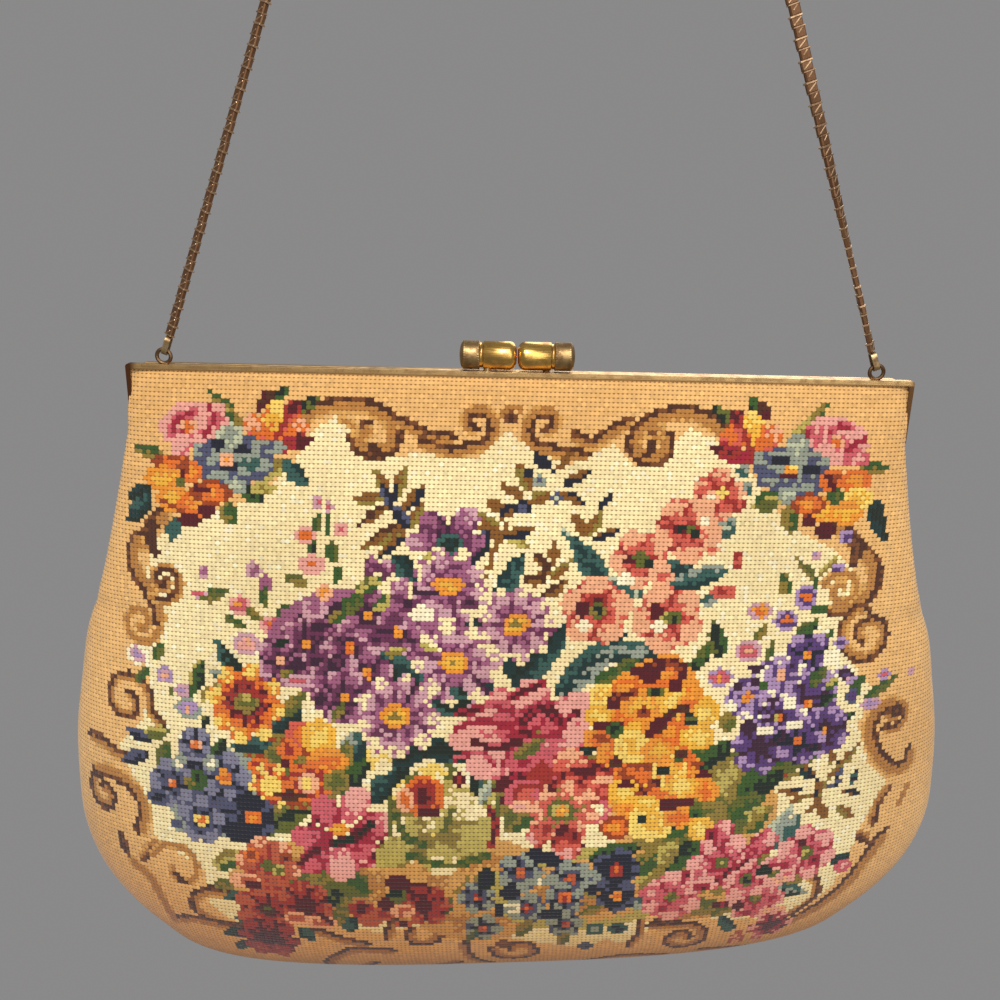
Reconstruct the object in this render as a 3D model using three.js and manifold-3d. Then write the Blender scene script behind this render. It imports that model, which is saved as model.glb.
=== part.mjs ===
// Tapestry handbag: two needlepoint panels on a hinged brass frame with a barrel clasp,
// hung from a folded-link chain. Millimetres, +Z up, the front faces -Y.
// The origin is the underside of the chain's bend, where it hangs over a hook.
import * as THREE from 'three';
import { mergeVertices } from 'three/addons/utils/BufferGeometryUtils.js';
import Module from 'manifold-3d';

const wasm = await Module();
wasm.setup();

// Clearance between neighbouring pieces
const gap = 0.3;

// Hinged frame: two half channels of sheet brass, the rear one nesting inside the front one
const frameWidth = 203;
const frameInset = 2.2;
const armLength = 57;
const halfDepth = 1.95;
const sheet = 0.45;
const lipSheet = 0.4;
const lipHeight = 1.3;
const lipWidth = 1.1;
const frontCorner = 0.8;
const rearCorner = 2.6;

// Hinge rivets
const pinRadius = 0.6;
const rivetHeadRadius = 1.35;
const rivetHeadHeight = 0.6;

// Barrel clasp, each barrel on a post of its own frame half
const barrelLength = 14.7;
const barrelRadius = 3.65;
const bandLength = 4.4;
const domeLength = 0.85;
const grooveLength = 0.9;
const grooveDepth = 0.45;
const noseLength = 1.9;
const noseRadius = 1.6;
const postRadius = 0.9;
const claspOffset = -0.8;

// Chain, its rings on the frame and the folded strips that hook into them
const chainLength = 510;
const chainThickness = 2.4;
const hookRadius = 6;
const ringSpread = 91.6;
const ringRadius = 1.78;
const ringWire = 0.52;
const solderDepth = 0.3;
const stripThickness = 0.5;
const stripWidth = 1.4;
const stripLength = 5;

// Needlepoint body
const bodyWidth = 250;
const bodyHeight = 182;
const bodyDepth = 58;
const fabric = 1.2;
const bodyLean = 1.5;
const bottomSkew = 9;
const fullness = 2.8;
const frameFullness = 9;
const frameReach = 62;

// From the frame down to the widest section: share of the height, share of the way from the
// frame's opening out to the full width, and share of the full depth
const SHOULDERS = [
  { drop: 0.030, spread: 0.00, depth: 0.120 },
  { drop: 0.055, spread: 0.01, depth: 0.166 },
  { drop: 0.090, spread: 0.06, depth: 0.214 },
  { drop: 0.140, spread: 0.14, depth: 0.283 },
  { drop: 0.200, spread: 0.24, depth: 0.366 },
  { drop: 0.270, spread: 0.37, depth: 0.462 },
  { drop: 0.330, spread: 0.50, depth: 0.545 },
  { drop: 0.400, spread: 0.71, depth: 0.641 },
  { drop: 0.480, spread: 0.84, depth: 0.745 },
  { drop: 0.560, spread: 0.95, depth: 0.845 },
  { drop: 0.640, spread: 1.00, depth: 0.931 },
];

// From the widest section round to the bottom seam: shares of the height, width and depth
const BELLY = [
  { drop: 0.720, width: 1.000, depth: 0.986 },
  { drop: 0.790, width: 0.972, depth: 1.000 },
  { drop: 0.850, width: 0.920, depth: 0.952 },
  { drop: 0.900, width: 0.860, depth: 0.841 },
  { drop: 0.940, width: 0.810, depth: 0.676 },
  { drop: 0.970, width: 0.747, depth: 0.483 },
  { drop: 0.990, width: 0.685, depth: 0.276 },
  { drop: 1.000, width: 0.623, depth: 0.009 },
];

// How far the left side seam strays to the front, as shares of the height and of the half depth
const LEFT_SEAM = [
  { drop: 0.00, forward: 0.00 },
  { drop: 0.33, forward: 0.00 },
  { drop: 0.39, forward: 0.20 },
  { drop: 0.46, forward: 0.22 },
  { drop: 0.54, forward: 0.10 },
  { drop: 0.62, forward: 0.00 },
  { drop: 0.76, forward: 0.00 },
  { drop: 0.85, forward: 0.16 },
  { drop: 0.92, forward: 0.12 },
  { drop: 1.00, forward: 0.00 },
];

// Facets
const roundSides = 24;
const wireSides = 8;
const postSides = 16;
const domeSteps = 5;
const noseSteps = 6;
const chainSteps = 80;
const panelColumns = 24;

// What follows from the sizes above
const chainRadius = chainThickness / 2;
const bendRadius = hookRadius + chainRadius;
const strandAngle = strandAngleFor(chainLength);
const strandPeak = bendRadius / Math.sin(strandAngle) + chainRadius - bendRadius;
const ringCentre = strandPeak - ringSpread / Math.tan(strandAngle);
const frameTop = ringCentre - ringRadius - ringWire + solderDepth;
const halfMiddle = gap / 2 + halfDepth / 2;
// The chain hangs in the plane y = 0, over the middle of the front half, so the two halves
// meet behind it
const midPlane = halfMiddle;
const frameFront = gap / 2 + halfDepth;
const pivotHeight = frameTop - armLength;
const barrelAxis = frameTop + gap + barrelRadius;
const postTop = barrelAxis + postRadius / 2;

const MATERIALS = {
  brass: new THREE.MeshStandardMaterial({ color: 0xb08a45, metalness: 1, roughness: 0.38 }),
  polished: new THREE.MeshStandardMaterial({ color: 0xc79a3c, metalness: 1, roughness: 0.22 }),
  aged: new THREE.MeshStandardMaterial({ color: 0x7d5c38, metalness: 1, roughness: 0.45 }),
  tapestry: new THREE.MeshStandardMaterial({ color: 0xdcb878, metalness: 0, roughness: 0.95 }),
};

// The strand's angle to the vertical that makes two strands and the bend add up to a length
function strandAngleFor(length) {
  let low = 0.01;
  let high = Math.PI / 2;
  for (let step = 0; step < 60; step += 1) {
    const angle = (low + high) / 2;
    const straight = ringSpread / Math.sin(angle) - bendRadius / Math.tan(angle);
    const bend = bendRadius * (Math.PI / 2 - angle);
    if (2 * (straight + bend) > length) low = angle;
    else high = angle;
  }
  return (low + high) / 2;
}

// Solids for joining and cutting
function toSolid(geometry) {
  const bare = geometry.index ? geometry.toNonIndexed() : geometry.clone();
  bare.deleteAttribute('normal');
  bare.deleteAttribute('uv');
  const merged = mergeVertices(bare, 1e-5);
  return new wasm.Manifold(new wasm.Mesh({
    numProp: 3,
    vertProperties: new Float32Array(merged.attributes.position.array),
    triVerts: new Uint32Array(merged.index.array),
  }));
}

function toGeometry(solid) {
  const mesh = solid.getMesh();
  const geometry = new THREE.BufferGeometry();
  geometry.setAttribute('position', new THREE.BufferAttribute(mesh.vertProperties, 3));
  geometry.setIndex(new THREE.BufferAttribute(mesh.triVerts, 1));
  geometry.computeVertexNormals();
  return geometry;
}

function joined(geometries) {
  return geometries.map(toSolid).reduce((whole, next) => whole.add(next));
}

function cylinderAlong(axis, radius, length, centre, sides = roundSides) {
  const geometry = new THREE.CylinderGeometry(radius, radius, length, sides);
  if (axis === 'x') geometry.rotateZ(Math.PI / 2);
  if (axis === 'z') geometry.rotateX(Math.PI / 2);
  return geometry.translate(...centre);
}

// A closed outline without the repeated points that lines and arcs leave where they meet
function cleaned(path, segments) {
  const points = path.getPoints(segments);
  return points.filter((point, index) => {
    const before = points[(index + points.length - 1) % points.length];
    return point.distanceTo(before) > 1e-6;
  });
}

// Frame halves. side is -1 for the front half and +1 for the rear one.
function archBand(halfWidth, corner, topBand, sideBand, length) {
  const inner = halfWidth - sideBand;
  const innerCorner = Math.max(corner - Math.max(topBand, sideBand), 0.05);
  const shape = new THREE.Shape();
  shape.moveTo(-halfWidth, -length);
  shape.lineTo(-inner, -length);
  shape.absarc(innerCorner - inner, -topBand - innerCorner, innerCorner, Math.PI, Math.PI / 2, true);
  shape.absarc(inner - innerCorner, -topBand - innerCorner, innerCorner, Math.PI / 2, 0, true);
  shape.lineTo(inner, -length);
  shape.lineTo(halfWidth, -length);
  shape.absarc(halfWidth - corner, -corner, corner, 0, Math.PI / 2, false);
  shape.absarc(corner - halfWidth, -corner, corner, Math.PI / 2, Math.PI, false);
  shape.closePath();
  return new THREE.Shape(cleaned(shape, 5));
}

function bandSolid(shape, depth, nearFace, side) {
  const geometry = new THREE.ExtrudeGeometry(shape, { depth, bevelEnabled: false });
  geometry.rotateX(Math.PI / 2);
  const near = side < 0 ? midPlane - nearFace : midPlane + nearFace + depth;
  return geometry.translate(0, near, frameTop);
}

function frameHalf(side, corner, inset) {
  const halfWidth = frameWidth / 2 - inset;
  const earRadius = frameFront;
  const web = archBand(halfWidth, corner, sheet, sheet, armLength);
  const lip = archBand(halfWidth, corner, lipHeight, lipWidth, armLength - earRadius - gap);
  const pieces = [
    bandSolid(web, halfDepth, gap / 2, side),
    bandSolid(lip, lipSheet, frameFront - lipSheet, side),
  ];
  for (const hand of [-1, 1]) {
    const ear = hand * (halfWidth - sheet / 2);
    pieces.push(cylinderAlong('x', earRadius, sheet, [ear, midPlane, pivotHeight]));
  }
  const postPlace = [claspOffset + side * (barrelLength / 2 + gap), midPlane + side * halfMiddle];
  const postBottom = frameTop - sheet;
  pieces.push(cylinderAlong('z', postRadius, postTop - postBottom,
    [...postPlace, (postTop + postBottom) / 2], postSides));
  if (side < 0) {
    for (const hand of [-1, 1]) {
      const ring = new THREE.TorusGeometry(ringRadius, ringWire, wireSides, roundSides);
      pieces.push(ring.rotateX(Math.PI / 2).translate(hand * ringSpread, 0, ringCentre));
    }
  }
  const pinHole = cylinderAlong('x', pinRadius + gap, frameWidth * 1.1, [0, midPlane, pivotHeight]);
  return toGeometry(joined(pieces).subtract(toSolid(pinHole)));
}

// Hinge rivet through both ears, a head at each end
function hingeRivet(hand) {
  const outer = frameWidth / 2 + gap;
  const inner = frameWidth / 2 - frameInset - sheet - gap;
  const middle = hand * (outer + inner) / 2;
  const pinLength = outer - inner + rivetHeadHeight;
  const pieces = [cylinderAlong('x', pinRadius, pinLength, [middle, midPlane, pivotHeight], postSides)];
  for (const end of [outer + rivetHeadHeight / 2, inner - rivetHeadHeight / 2]) {
    pieces.push(cylinderAlong('x', rivetHeadRadius, rivetHeadHeight, [hand * end, midPlane, pivotHeight]));
  }
  return toGeometry(joined(pieces));
}

// Clasp barrel: domed end, knurled band, groove, polished body and rounded nose
function barrelProfile() {
  const points = [];
  const domeRadius = barrelRadius * 0.9;
  for (let step = 0; step <= domeSteps; step += 1) {
    const angle = (step / domeSteps) * (Math.PI / 2);
    points.push(new THREE.Vector2(domeRadius * Math.sin(angle), domeLength * (1 - Math.cos(angle))));
  }
  const edge = grooveDepth / 2;
  const bandEnd = domeLength + bandLength;
  const bodyStart = bandEnd + grooveLength;
  points.push(new THREE.Vector2(barrelRadius, domeLength + edge));
  points.push(new THREE.Vector2(barrelRadius, bandEnd));
  points.push(new THREE.Vector2(barrelRadius - grooveDepth, bandEnd + edge / 2));
  points.push(new THREE.Vector2(barrelRadius - grooveDepth, bodyStart - edge / 2));
  points.push(new THREE.Vector2(barrelRadius, bodyStart + edge / 2));
  for (let step = 0; step <= noseSteps; step += 1) {
    const angle = (step / noseSteps) * (Math.PI / 2);
    const radius = noseRadius + (barrelRadius - noseRadius) * Math.cos(angle);
    points.push(new THREE.Vector2(radius, barrelLength - noseLength * (1 - Math.sin(angle))));
  }
  points.push(new THREE.Vector2(0, barrelLength));
  return points;
}

function claspBarrel(side) {
  const barrel = new THREE.LatheGeometry(barrelProfile(), roundSides);
  barrel.rotateZ(side * Math.PI / 2);
  const outerEnd = claspOffset + side * (barrelLength + gap / 2);
  barrel.translate(outerEnd, midPlane, barrelAxis);
  const place = [claspOffset + side * (barrelLength / 2 + gap), midPlane + side * halfMiddle];
  const holeTop = postTop + gap;
  const holeBottom = frameTop;
  const hole = cylinderAlong('z', postRadius + gap, holeTop - holeBottom,
    [...place, (holeTop + holeBottom) / 2], postSides);
  return toGeometry(toSolid(barrel).subtract(toSolid(hole)));
}

// Folded strip that hooks through a ring and holds the end of the chain
function hookStrip(hand) {
  const eye = ringWire + gap;
  const outer = eye + stripThickness;
  const reach = stripLength - 2 * outer;
  const shape = new THREE.Shape();
  shape.absarc(0, 0, outer, Math.PI, 2 * Math.PI, false);
  shape.absarc(0, reach, outer, 0, Math.PI, false);
  shape.closePath();
  const slot = new THREE.Path();
  slot.absarc(0, 0, eye, Math.PI, 2 * Math.PI, false);
  slot.absarc(0, reach, eye, 0, Math.PI, false);
  slot.closePath();
  const band = new THREE.Shape(cleaned(shape, 10));
  band.holes.push(new THREE.Path(cleaned(slot, 10)));
  const strip = new THREE.ExtrudeGeometry(band, { depth: stripWidth, bevelEnabled: false });
  strip.translate(0, ringRadius, -stripWidth / 2);
  strip.rotateX(Math.PI / 2).rotateZ(Math.PI / 2);
  strip.rotateY(-hand * strandAngle);
  return strip.translate(hand * ringSpread, 0, ringCentre);
}

// Chain: two straight strands and the bend over the hook
class ChainRoute extends THREE.Curve {
  constructor() {
    super();
    const start = ringRadius + stripLength - (ringWire + gap + stripThickness) + gap;
    this.straight = ringSpread / Math.sin(strandAngle) - bendRadius / Math.tan(strandAngle) - start;
    this.bend = bendRadius * (Math.PI - 2 * strandAngle);
    this.length = 2 * this.straight + this.bend;
  }

  getPoint(share, target = new THREE.Vector3()) {
    const along = share * this.length - this.length / 2;
    const hand = Math.sign(along) || 1;
    const away = Math.abs(along);
    const turn = Math.min(away / bendRadius, Math.PI / 2 - strandAngle);
    const run = Math.max(away - this.bend / 2, 0);
    const across = bendRadius * Math.sin(turn) + run * Math.sin(strandAngle);
    const down = bendRadius * (1 - Math.cos(turn)) + run * Math.cos(strandAngle);
    return target.set(hand * across, 0, chainRadius - down);
  }
}

function chainTube() {
  const section = new THREE.Shape();
  for (let side = 0; side < wireSides; side += 1) {
    const angle = ((side + 0.5) / wireSides) * 2 * Math.PI;
    const point = [chainRadius * Math.cos(angle), chainRadius * Math.sin(angle)];
    if (side === 0) section.moveTo(...point);
    else section.lineTo(...point);
  }
  section.closePath();
  const settings = { steps: chainSteps, extrudePath: new ChainRoute(), bevelEnabled: false };
  return new THREE.ExtrudeGeometry(section, settings);
}

// Needlepoint panels
function smoothStep(low, high, value) {
  return THREE.MathUtils.smoothstep(value, low, high);
}

// The rows of a panel, top to bottom: drop below the frame's top, half width and half depth
function panelRows(inset) {
  const tucked = frameFront - lipSheet - gap;
  const opening = frameWidth / 2 - lipWidth - gap;
  const full = bodyWidth / 2;
  const proud = frameFront + gap;
  const rows = [
    { drop: sheet + gap, width: opening, depth: tucked },
    { drop: lipHeight, width: opening, depth: tucked },
    { drop: lipHeight + 2 * gap, width: opening, depth: tucked + gap },
    { drop: lipHeight + 4 * gap, width: opening, depth: proud + gap / 2 },
    ...SHOULDERS.map((row) => ({
      drop: row.drop * bodyHeight,
      width: opening + row.spread * (full - opening),
      depth: row.depth * bodyDepth / 2,
    })),
    ...BELLY.map((row) => ({
      drop: row.drop * bodyHeight,
      width: row.width * full,
      depth: row.depth * bodyDepth / 2,
    })),
  ];
  const points = rows.map((row) => new THREE.Vector3(row.drop, row.width, row.depth));
  const curve = new THREE.CatmullRomCurve3(points, false, 'centripetal');
  const count = rows.length - 1;
  return Array.from({ length: count + 1 }, (_, index) => {
    const point = curve.getPoint(index / count);
    const narrowing = inset * (1 - smoothStep(0.05 * armLength, armLength, point.x));
    return { drop: point.x, width: point.y - narrowing, depth: point.z, inset };
  });
}

function leftSeamAt(drop) {
  const share = drop / bodyHeight;
  const next = LEFT_SEAM.findIndex((row) => row.drop > share);
  if (next < 1) return 0;
  const [above, below] = [LEFT_SEAM[next - 1], LEFT_SEAM[next]];
  const part = smoothStep(above.drop, below.drop, share);
  return THREE.MathUtils.lerp(above.forward, below.forward, part);
}

// One row's points, from the right edge to the left one, as [across, forward]. A section is a
// superellipse, squarer beside the frame, whose arms hold the fabric out to their full width.
function rowPoints(row, side, wall) {
  const tuck = gap / 2 + gap;
  const earBottom = armLength + frameFront + gap;
  const proud = frameFront + gap;
  const belowHinge = smoothStep(earBottom, earBottom + 8, row.drop);
  const rise = smoothStep(lipHeight, 10, row.drop);
  const base = THREE.MathUtils.lerp(THREE.MathUtils.lerp(tuck, proud, rise), gap / 2, belowHinge);
  const flange = smoothStep(4, 14, row.drop) * (1 - belowHinge);
  const inside = wall > 0;
  const radius = row.width - wall;
  const depth = Math.max(row.depth - wall, base + (inside ? 0.1 : 0.2));
  const edge = base + wall * flange;
  const seam = -side * leftSeamAt(row.drop) * row.depth;
  const power = 2 / THREE.MathUtils.lerp(frameFullness, fullness, smoothStep(0, frameReach, row.drop));
  const rim = (offset) => {
    const share = (edge + offset - base) / (depth - base);
    return Math.asin(THREE.MathUtils.clamp(share, -0.9, 0.9));
  };
  const start = rim(0);
  const end = Math.PI - rim(seam);
  const held = frameWidth / 2 - lipWidth - gap - row.inset - gap;
  const stitched = row.width - (inside ? 2 : 1) * fabric / 3;
  const edgeAcross = THREE.MathUtils.lerp(stitched, held, flange);
  const leftTurn = Math.abs(Math.cos(end)) ** power;
  const points = [[edgeAcross, edge]];
  for (let column = 0; column <= panelColumns; column += 1) {
    const angle = THREE.MathUtils.lerp(start, end, column / panelColumns);
    const across = radius * Math.sign(Math.cos(angle)) * Math.abs(Math.cos(angle)) ** power;
    points.push([across, base + (depth - base) * Math.sin(angle)]);
  }
  const leftStitched = radius * leftTurn - (inside ? -1 : 1) * fabric / 3;
  points.push([-THREE.MathUtils.lerp(leftStitched, held, flange), edge + seam]);
  return points;
}

function panelPoint(across, forward, drop, side) {
  const share = drop / bodyHeight;
  const lean = bodyLean * Math.sin(Math.PI * share);
  const skew = bottomSkew * (across / (bodyWidth / 2)) * share ** 2;
  return [across - lean, midPlane + side * forward, frameTop - drop + skew];
}

function panel(side, inset) {
  const rows = panelRows(inset);
  const positions = [];
  const lastDrop = rows[rows.length - 1].drop;
  for (const row of rows) {
    for (const [across, forward] of rowPoints(row, side, 0)) {
      positions.push(...panelPoint(across, forward, row.drop, side));
    }
  }
  for (const row of rows) {
    const wall = Math.min(fabric, row.depth - 1.5 * gap);
    const lift = fabric * smoothStep(0.5 * lastDrop, lastDrop, row.drop);
    for (const [across, forward] of rowPoints(row, side, Math.max(wall, gap))) {
      positions.push(...panelPoint(across, forward, row.drop - lift, side));
    }
  }
  const perRow = panelColumns + 3;
  const innerStart = rows.length * perRow;
  const index = [];
  const quad = (a, b, c, d) => {
    if (side < 0) index.push(a, b, c, a, c, d);
    else index.push(a, c, b, a, d, c);
  };
  for (let r = 0; r < rows.length - 1; r += 1) {
    for (let c = 0; c < perRow - 1; c += 1) {
      const outer = r * perRow + c;
      const inner = innerStart + outer;
      quad(outer, outer + 1, outer + 1 + perRow, outer + perRow);
      quad(inner, inner + perRow, inner + 1 + perRow, inner + 1);
    }
    const right = r * perRow;
    const left = right + perRow - 1;
    quad(right, right + perRow, innerStart + right + perRow, innerStart + right);
    quad(left, innerStart + left, innerStart + left + perRow, left + perRow);
  }
  const bottom = (rows.length - 1) * perRow;
  for (let c = 0; c < perRow - 1; c += 1) {
    quad(c, innerStart + c, innerStart + c + 1, c + 1);
    quad(bottom + c, bottom + c + 1, innerStart + bottom + c + 1, innerStart + bottom + c);
  }
  const geometry = new THREE.BufferGeometry();
  geometry.setAttribute('position', new THREE.Float32BufferAttribute(positions, 3));
  geometry.setIndex(index);
  geometry.computeVertexNormals();
  return geometry;
}

// The assembled handbag
const handbag = new THREE.Group();

function place(name, geometry, material) {
  const mesh = new THREE.Mesh(geometry, material);
  mesh.name = name;
  handbag.add(mesh);
}

place('frame_front', frameHalf(-1, frontCorner, 0), MATERIALS.brass);
place('frame_back', frameHalf(1, rearCorner, frameInset), MATERIALS.brass);
place('front_panel', panel(-1, 0), MATERIALS.tapestry);
place('back_panel', panel(1, frameInset), MATERIALS.tapestry);
place('clasp_barrel_left', claspBarrel(-1), MATERIALS.polished);
place('clasp_barrel_right', claspBarrel(1), MATERIALS.polished);
place('chain', chainTube(), MATERIALS.aged);
for (const [word, hand] of [['left', -1], ['right', 1]]) {
  place(`hinge_rivet_${word}`, hingeRivet(hand), MATERIALS.brass);
  place(`chain_hook_${word}`, hookStrip(hand), MATERIALS.aged);
}

export default handbag;
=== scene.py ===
# %% [markdown]
# A tapestry handbag. Two panels of wool needlepoint, worked with flowers inside a scrolled
# border, hang from a hinged brass frame. A pair of small barrels snaps the frame shut, and a
# chain of flat folded links carries it. This lesson dresses a frame of fixed solids: every
# piece here takes its size and place from those solids, in metres, with +Z up and the bag's
# front facing -Y.

# %% Load the solids
import bpy
import bmesh
import math
import numpy as np
from mathutils import Matrix, Vector


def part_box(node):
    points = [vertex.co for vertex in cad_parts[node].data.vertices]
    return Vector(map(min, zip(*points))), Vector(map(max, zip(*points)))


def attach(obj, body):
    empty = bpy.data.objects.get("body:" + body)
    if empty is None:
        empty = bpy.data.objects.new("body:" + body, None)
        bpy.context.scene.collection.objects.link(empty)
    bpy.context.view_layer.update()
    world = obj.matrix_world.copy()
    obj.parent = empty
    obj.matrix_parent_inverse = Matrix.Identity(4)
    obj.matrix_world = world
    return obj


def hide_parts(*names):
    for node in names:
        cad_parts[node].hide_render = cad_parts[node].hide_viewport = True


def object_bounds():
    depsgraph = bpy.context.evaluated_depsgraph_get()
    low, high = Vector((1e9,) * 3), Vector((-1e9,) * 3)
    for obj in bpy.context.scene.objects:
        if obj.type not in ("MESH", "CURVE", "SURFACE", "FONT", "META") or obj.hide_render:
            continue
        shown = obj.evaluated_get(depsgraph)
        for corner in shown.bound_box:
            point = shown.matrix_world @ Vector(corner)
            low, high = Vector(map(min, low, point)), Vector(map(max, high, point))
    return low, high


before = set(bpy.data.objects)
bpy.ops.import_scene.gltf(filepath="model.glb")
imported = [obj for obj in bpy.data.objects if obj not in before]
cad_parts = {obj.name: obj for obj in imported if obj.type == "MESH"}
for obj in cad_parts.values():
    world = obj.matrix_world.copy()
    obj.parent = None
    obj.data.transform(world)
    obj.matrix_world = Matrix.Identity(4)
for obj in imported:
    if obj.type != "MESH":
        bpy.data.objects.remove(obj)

solid_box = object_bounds()
MM = 0.001
BODY = "root"
print("solids:", sorted(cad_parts))

# %% [markdown]
# The sizes of the frame come first, because everything else is measured from it. A hinged
# frame is two half channels of sheet brass. Each has a web, which is the edge seen from above,
# and a lip that covers the edge of the fabric. The solids say where its top is: the fabric
# starts a sheet's thickness and one clearance below it.

# %% Sizes of the frame
GAP = 0.3 * MM
SHEET = 0.45 * MM
LIP_SHEET = 0.4 * MM
LIP_HEIGHT = 1.3 * MM
LIP_WIDTH = 1.1 * MM
HALF_DEPTH = 1.95 * MM
ARM_LENGTH = 57 * MM
INSET = 2.2 * MM
panel_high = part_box("front_panel")[1]
front_low, front_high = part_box("frame_front")
FRAME_TOP = panel_high.z + SHEET + GAP
FRAME_WIDTH = front_high.x - front_low.x
MIDDLE = GAP / 2 + HALF_DEPTH / 2
FRAME_FRONT = GAP / 2 + HALF_DEPTH
print(f"frame {FRAME_WIDTH / MM:.1f} mm wide, its top at {FRAME_TOP / MM:.1f} mm")

# %% [markdown]
# The camera looks at the bag from a little above, from the same place as the photograph: 18
# degrees down, close enough that the frame fills four fifths of the picture, and turned by
# about a degree. Its rotation is built from its three axes, so that nothing is left to a
# tracking constraint.

# %% Camera
PICTURE = 1000
FOCAL_PIXELS = 981
LOOK_DOWN = math.radians(18)
ROLL = math.radians(1.3)
CAMERA_PLACE = Vector((-4.4 * MM, MIDDLE - FRAME_FRONT - 249.6 * MM, FRAME_TOP + 46.6 * MM))


def add_camera():
    forward = Vector((0, math.cos(LOOK_DOWN), -math.sin(LOOK_DOWN)))
    level = Vector((1, 0, 0))
    rise = level.cross(forward)
    right = level * math.cos(ROLL) + rise * math.sin(ROLL)
    up = rise * math.cos(ROLL) - level * math.sin(ROLL)
    camera = bpy.data.objects.new("camera", bpy.data.cameras.new("camera"))
    camera.data.sensor_width = 36
    camera.data.lens = 36 * FOCAL_PIXELS / PICTURE
    camera.data.clip_start = 0.01
    camera.data.dof.use_dof = False
    turn = Matrix((right, up, -forward)).transposed()
    camera.matrix_world = Matrix.Translation(CAMERA_PLACE) @ turn.to_4x4()
    bpy.context.collection.objects.link(camera)
    bpy.context.scene.camera = camera
    return camera


camera = add_camera()
print("camera at", [round(value / MM) for value in CAMERA_PLACE], "mm")

# %% [markdown]
# A few helpers are used by every piece. A piece is drawn in a bmesh, written to a mesh object
# at the origin, given one material, and tied to the frame.

# %% Helpers for pieces
def new_piece(name, bm, material, smooth=True, stands_for=()):
    mesh = bpy.data.meshes.new(name)
    bm.to_mesh(mesh)
    bm.free()
    for polygon in mesh.polygons:
        polygon.use_smooth = smooth
    piece = bpy.data.objects.new(name, mesh)
    bpy.context.collection.objects.link(piece)
    piece.data.materials.append(material)
    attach(piece, BODY)
    if stands_for:
        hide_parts(*stands_for)
    print(f"{name}: {len(mesh.polygons)} faces")
    return piece


def plain_material(name, colour, roughness, metallic=0.0):
    material = bpy.data.materials.new(name)
    material.use_nodes = True
    shader = material.node_tree.nodes["Principled BSDF"]
    shader.inputs["Base Color"].default_value = (*colour, 1)
    shader.inputs["Roughness"].default_value = roughness
    shader.inputs["Metallic"].default_value = metallic
    return material


# %% [markdown]
# Materials are built from nodes, so a few more helpers keep them short. A group of nodes holds
# an effect that several materials share.

# %% Helpers for materials
def add_node(tree, kind, inputs=(), **settings):
    """A node with its settings, and its inputs linked to a socket or set to a value."""
    node = tree.nodes.new(kind)
    for name, value in settings.items():
        setattr(node, name, value)
    for socket, value in dict(inputs).items():
        if isinstance(value, bpy.types.NodeSocket):
            tree.links.new(value, node.inputs[socket])
        else:
            node.inputs[socket].default_value = value
    return node


def new_group(name, inputs, outputs):
    group = bpy.data.node_groups.new(name, "ShaderNodeTree")
    for title, kind in inputs:
        group.interface.new_socket(title, in_out="INPUT", socket_type=kind)
    for title, kind in outputs:
        group.interface.new_socket(title, in_out="OUTPUT", socket_type=kind)
    return group, group.nodes.new("NodeGroupInput"), group.nodes.new("NodeGroupOutput")


def fade(tree, value, start, end, low=1.0, high=0.0):
    return add_node(tree, "ShaderNodeMapRange", {
        "Value": value, "From Min": start, "From Max": end, "To Min": low, "To Max": high,
    }, interpolation_type="SMOOTHSTEP").outputs["Result"]


def times(tree, first, second, operation="MULTIPLY"):
    return add_node(tree, "ShaderNodeMath", {0: first, 1: second},
                    operation=operation).outputs[0]


def mixed(tree, share, first, second, blend="MIX"):
    node = add_node(tree, "ShaderNodeMix", {0: share, 6: first, 7: second},
                    data_type="RGBA", blend_type=blend)
    return node.outputs[2]


# %% [markdown]
# The brass has aged. One group of nodes puts out the three things that every brass piece needs:
# a cloudy patch mask, fine scratches along one direction and small specks. Each material mixes
# its own bright and dark metal by them.

# %% Brass materials
def age_group():
    tree, given, result = new_group(
        "aged_metal", [("Place", "NodeSocketVector"), ("Stretch", "NodeSocketVector")],
        [("Patches", "NodeSocketFloat"), ("Scratches", "NodeSocketFloat"),
         ("Specks", "NodeSocketFloat")])
    place = given.outputs["Place"]
    cloud = add_node(tree, "ShaderNodeTexNoise", {"Vector": place, "Scale": 330.0, "Detail": 4.0})
    drawn = add_node(tree, "ShaderNodeVectorMath", {0: place, 1: given.outputs["Stretch"]},
                     operation="MULTIPLY").outputs[0]
    fine = add_node(tree, "ShaderNodeTexNoise", {"Vector": drawn, "Scale": 1.0, "Detail": 3.0})
    speck = add_node(tree, "ShaderNodeTexNoise", {"Vector": place, "Scale": 2600.0, "Detail": 2.0})
    tree.links.new(fade(tree, cloud.outputs["Fac"], 0.42, 0.62, 0.0, 1.0),
                   result.inputs["Patches"])
    tree.links.new(fade(tree, fine.outputs["Fac"], 0.35, 0.65, 0.0, 1.0),
                   result.inputs["Scratches"])
    tree.links.new(fade(tree, speck.outputs["Fac"], 0.55, 0.7, 0.0, 1.0),
                   result.inputs["Specks"])
    return tree


AGED = age_group()


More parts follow.
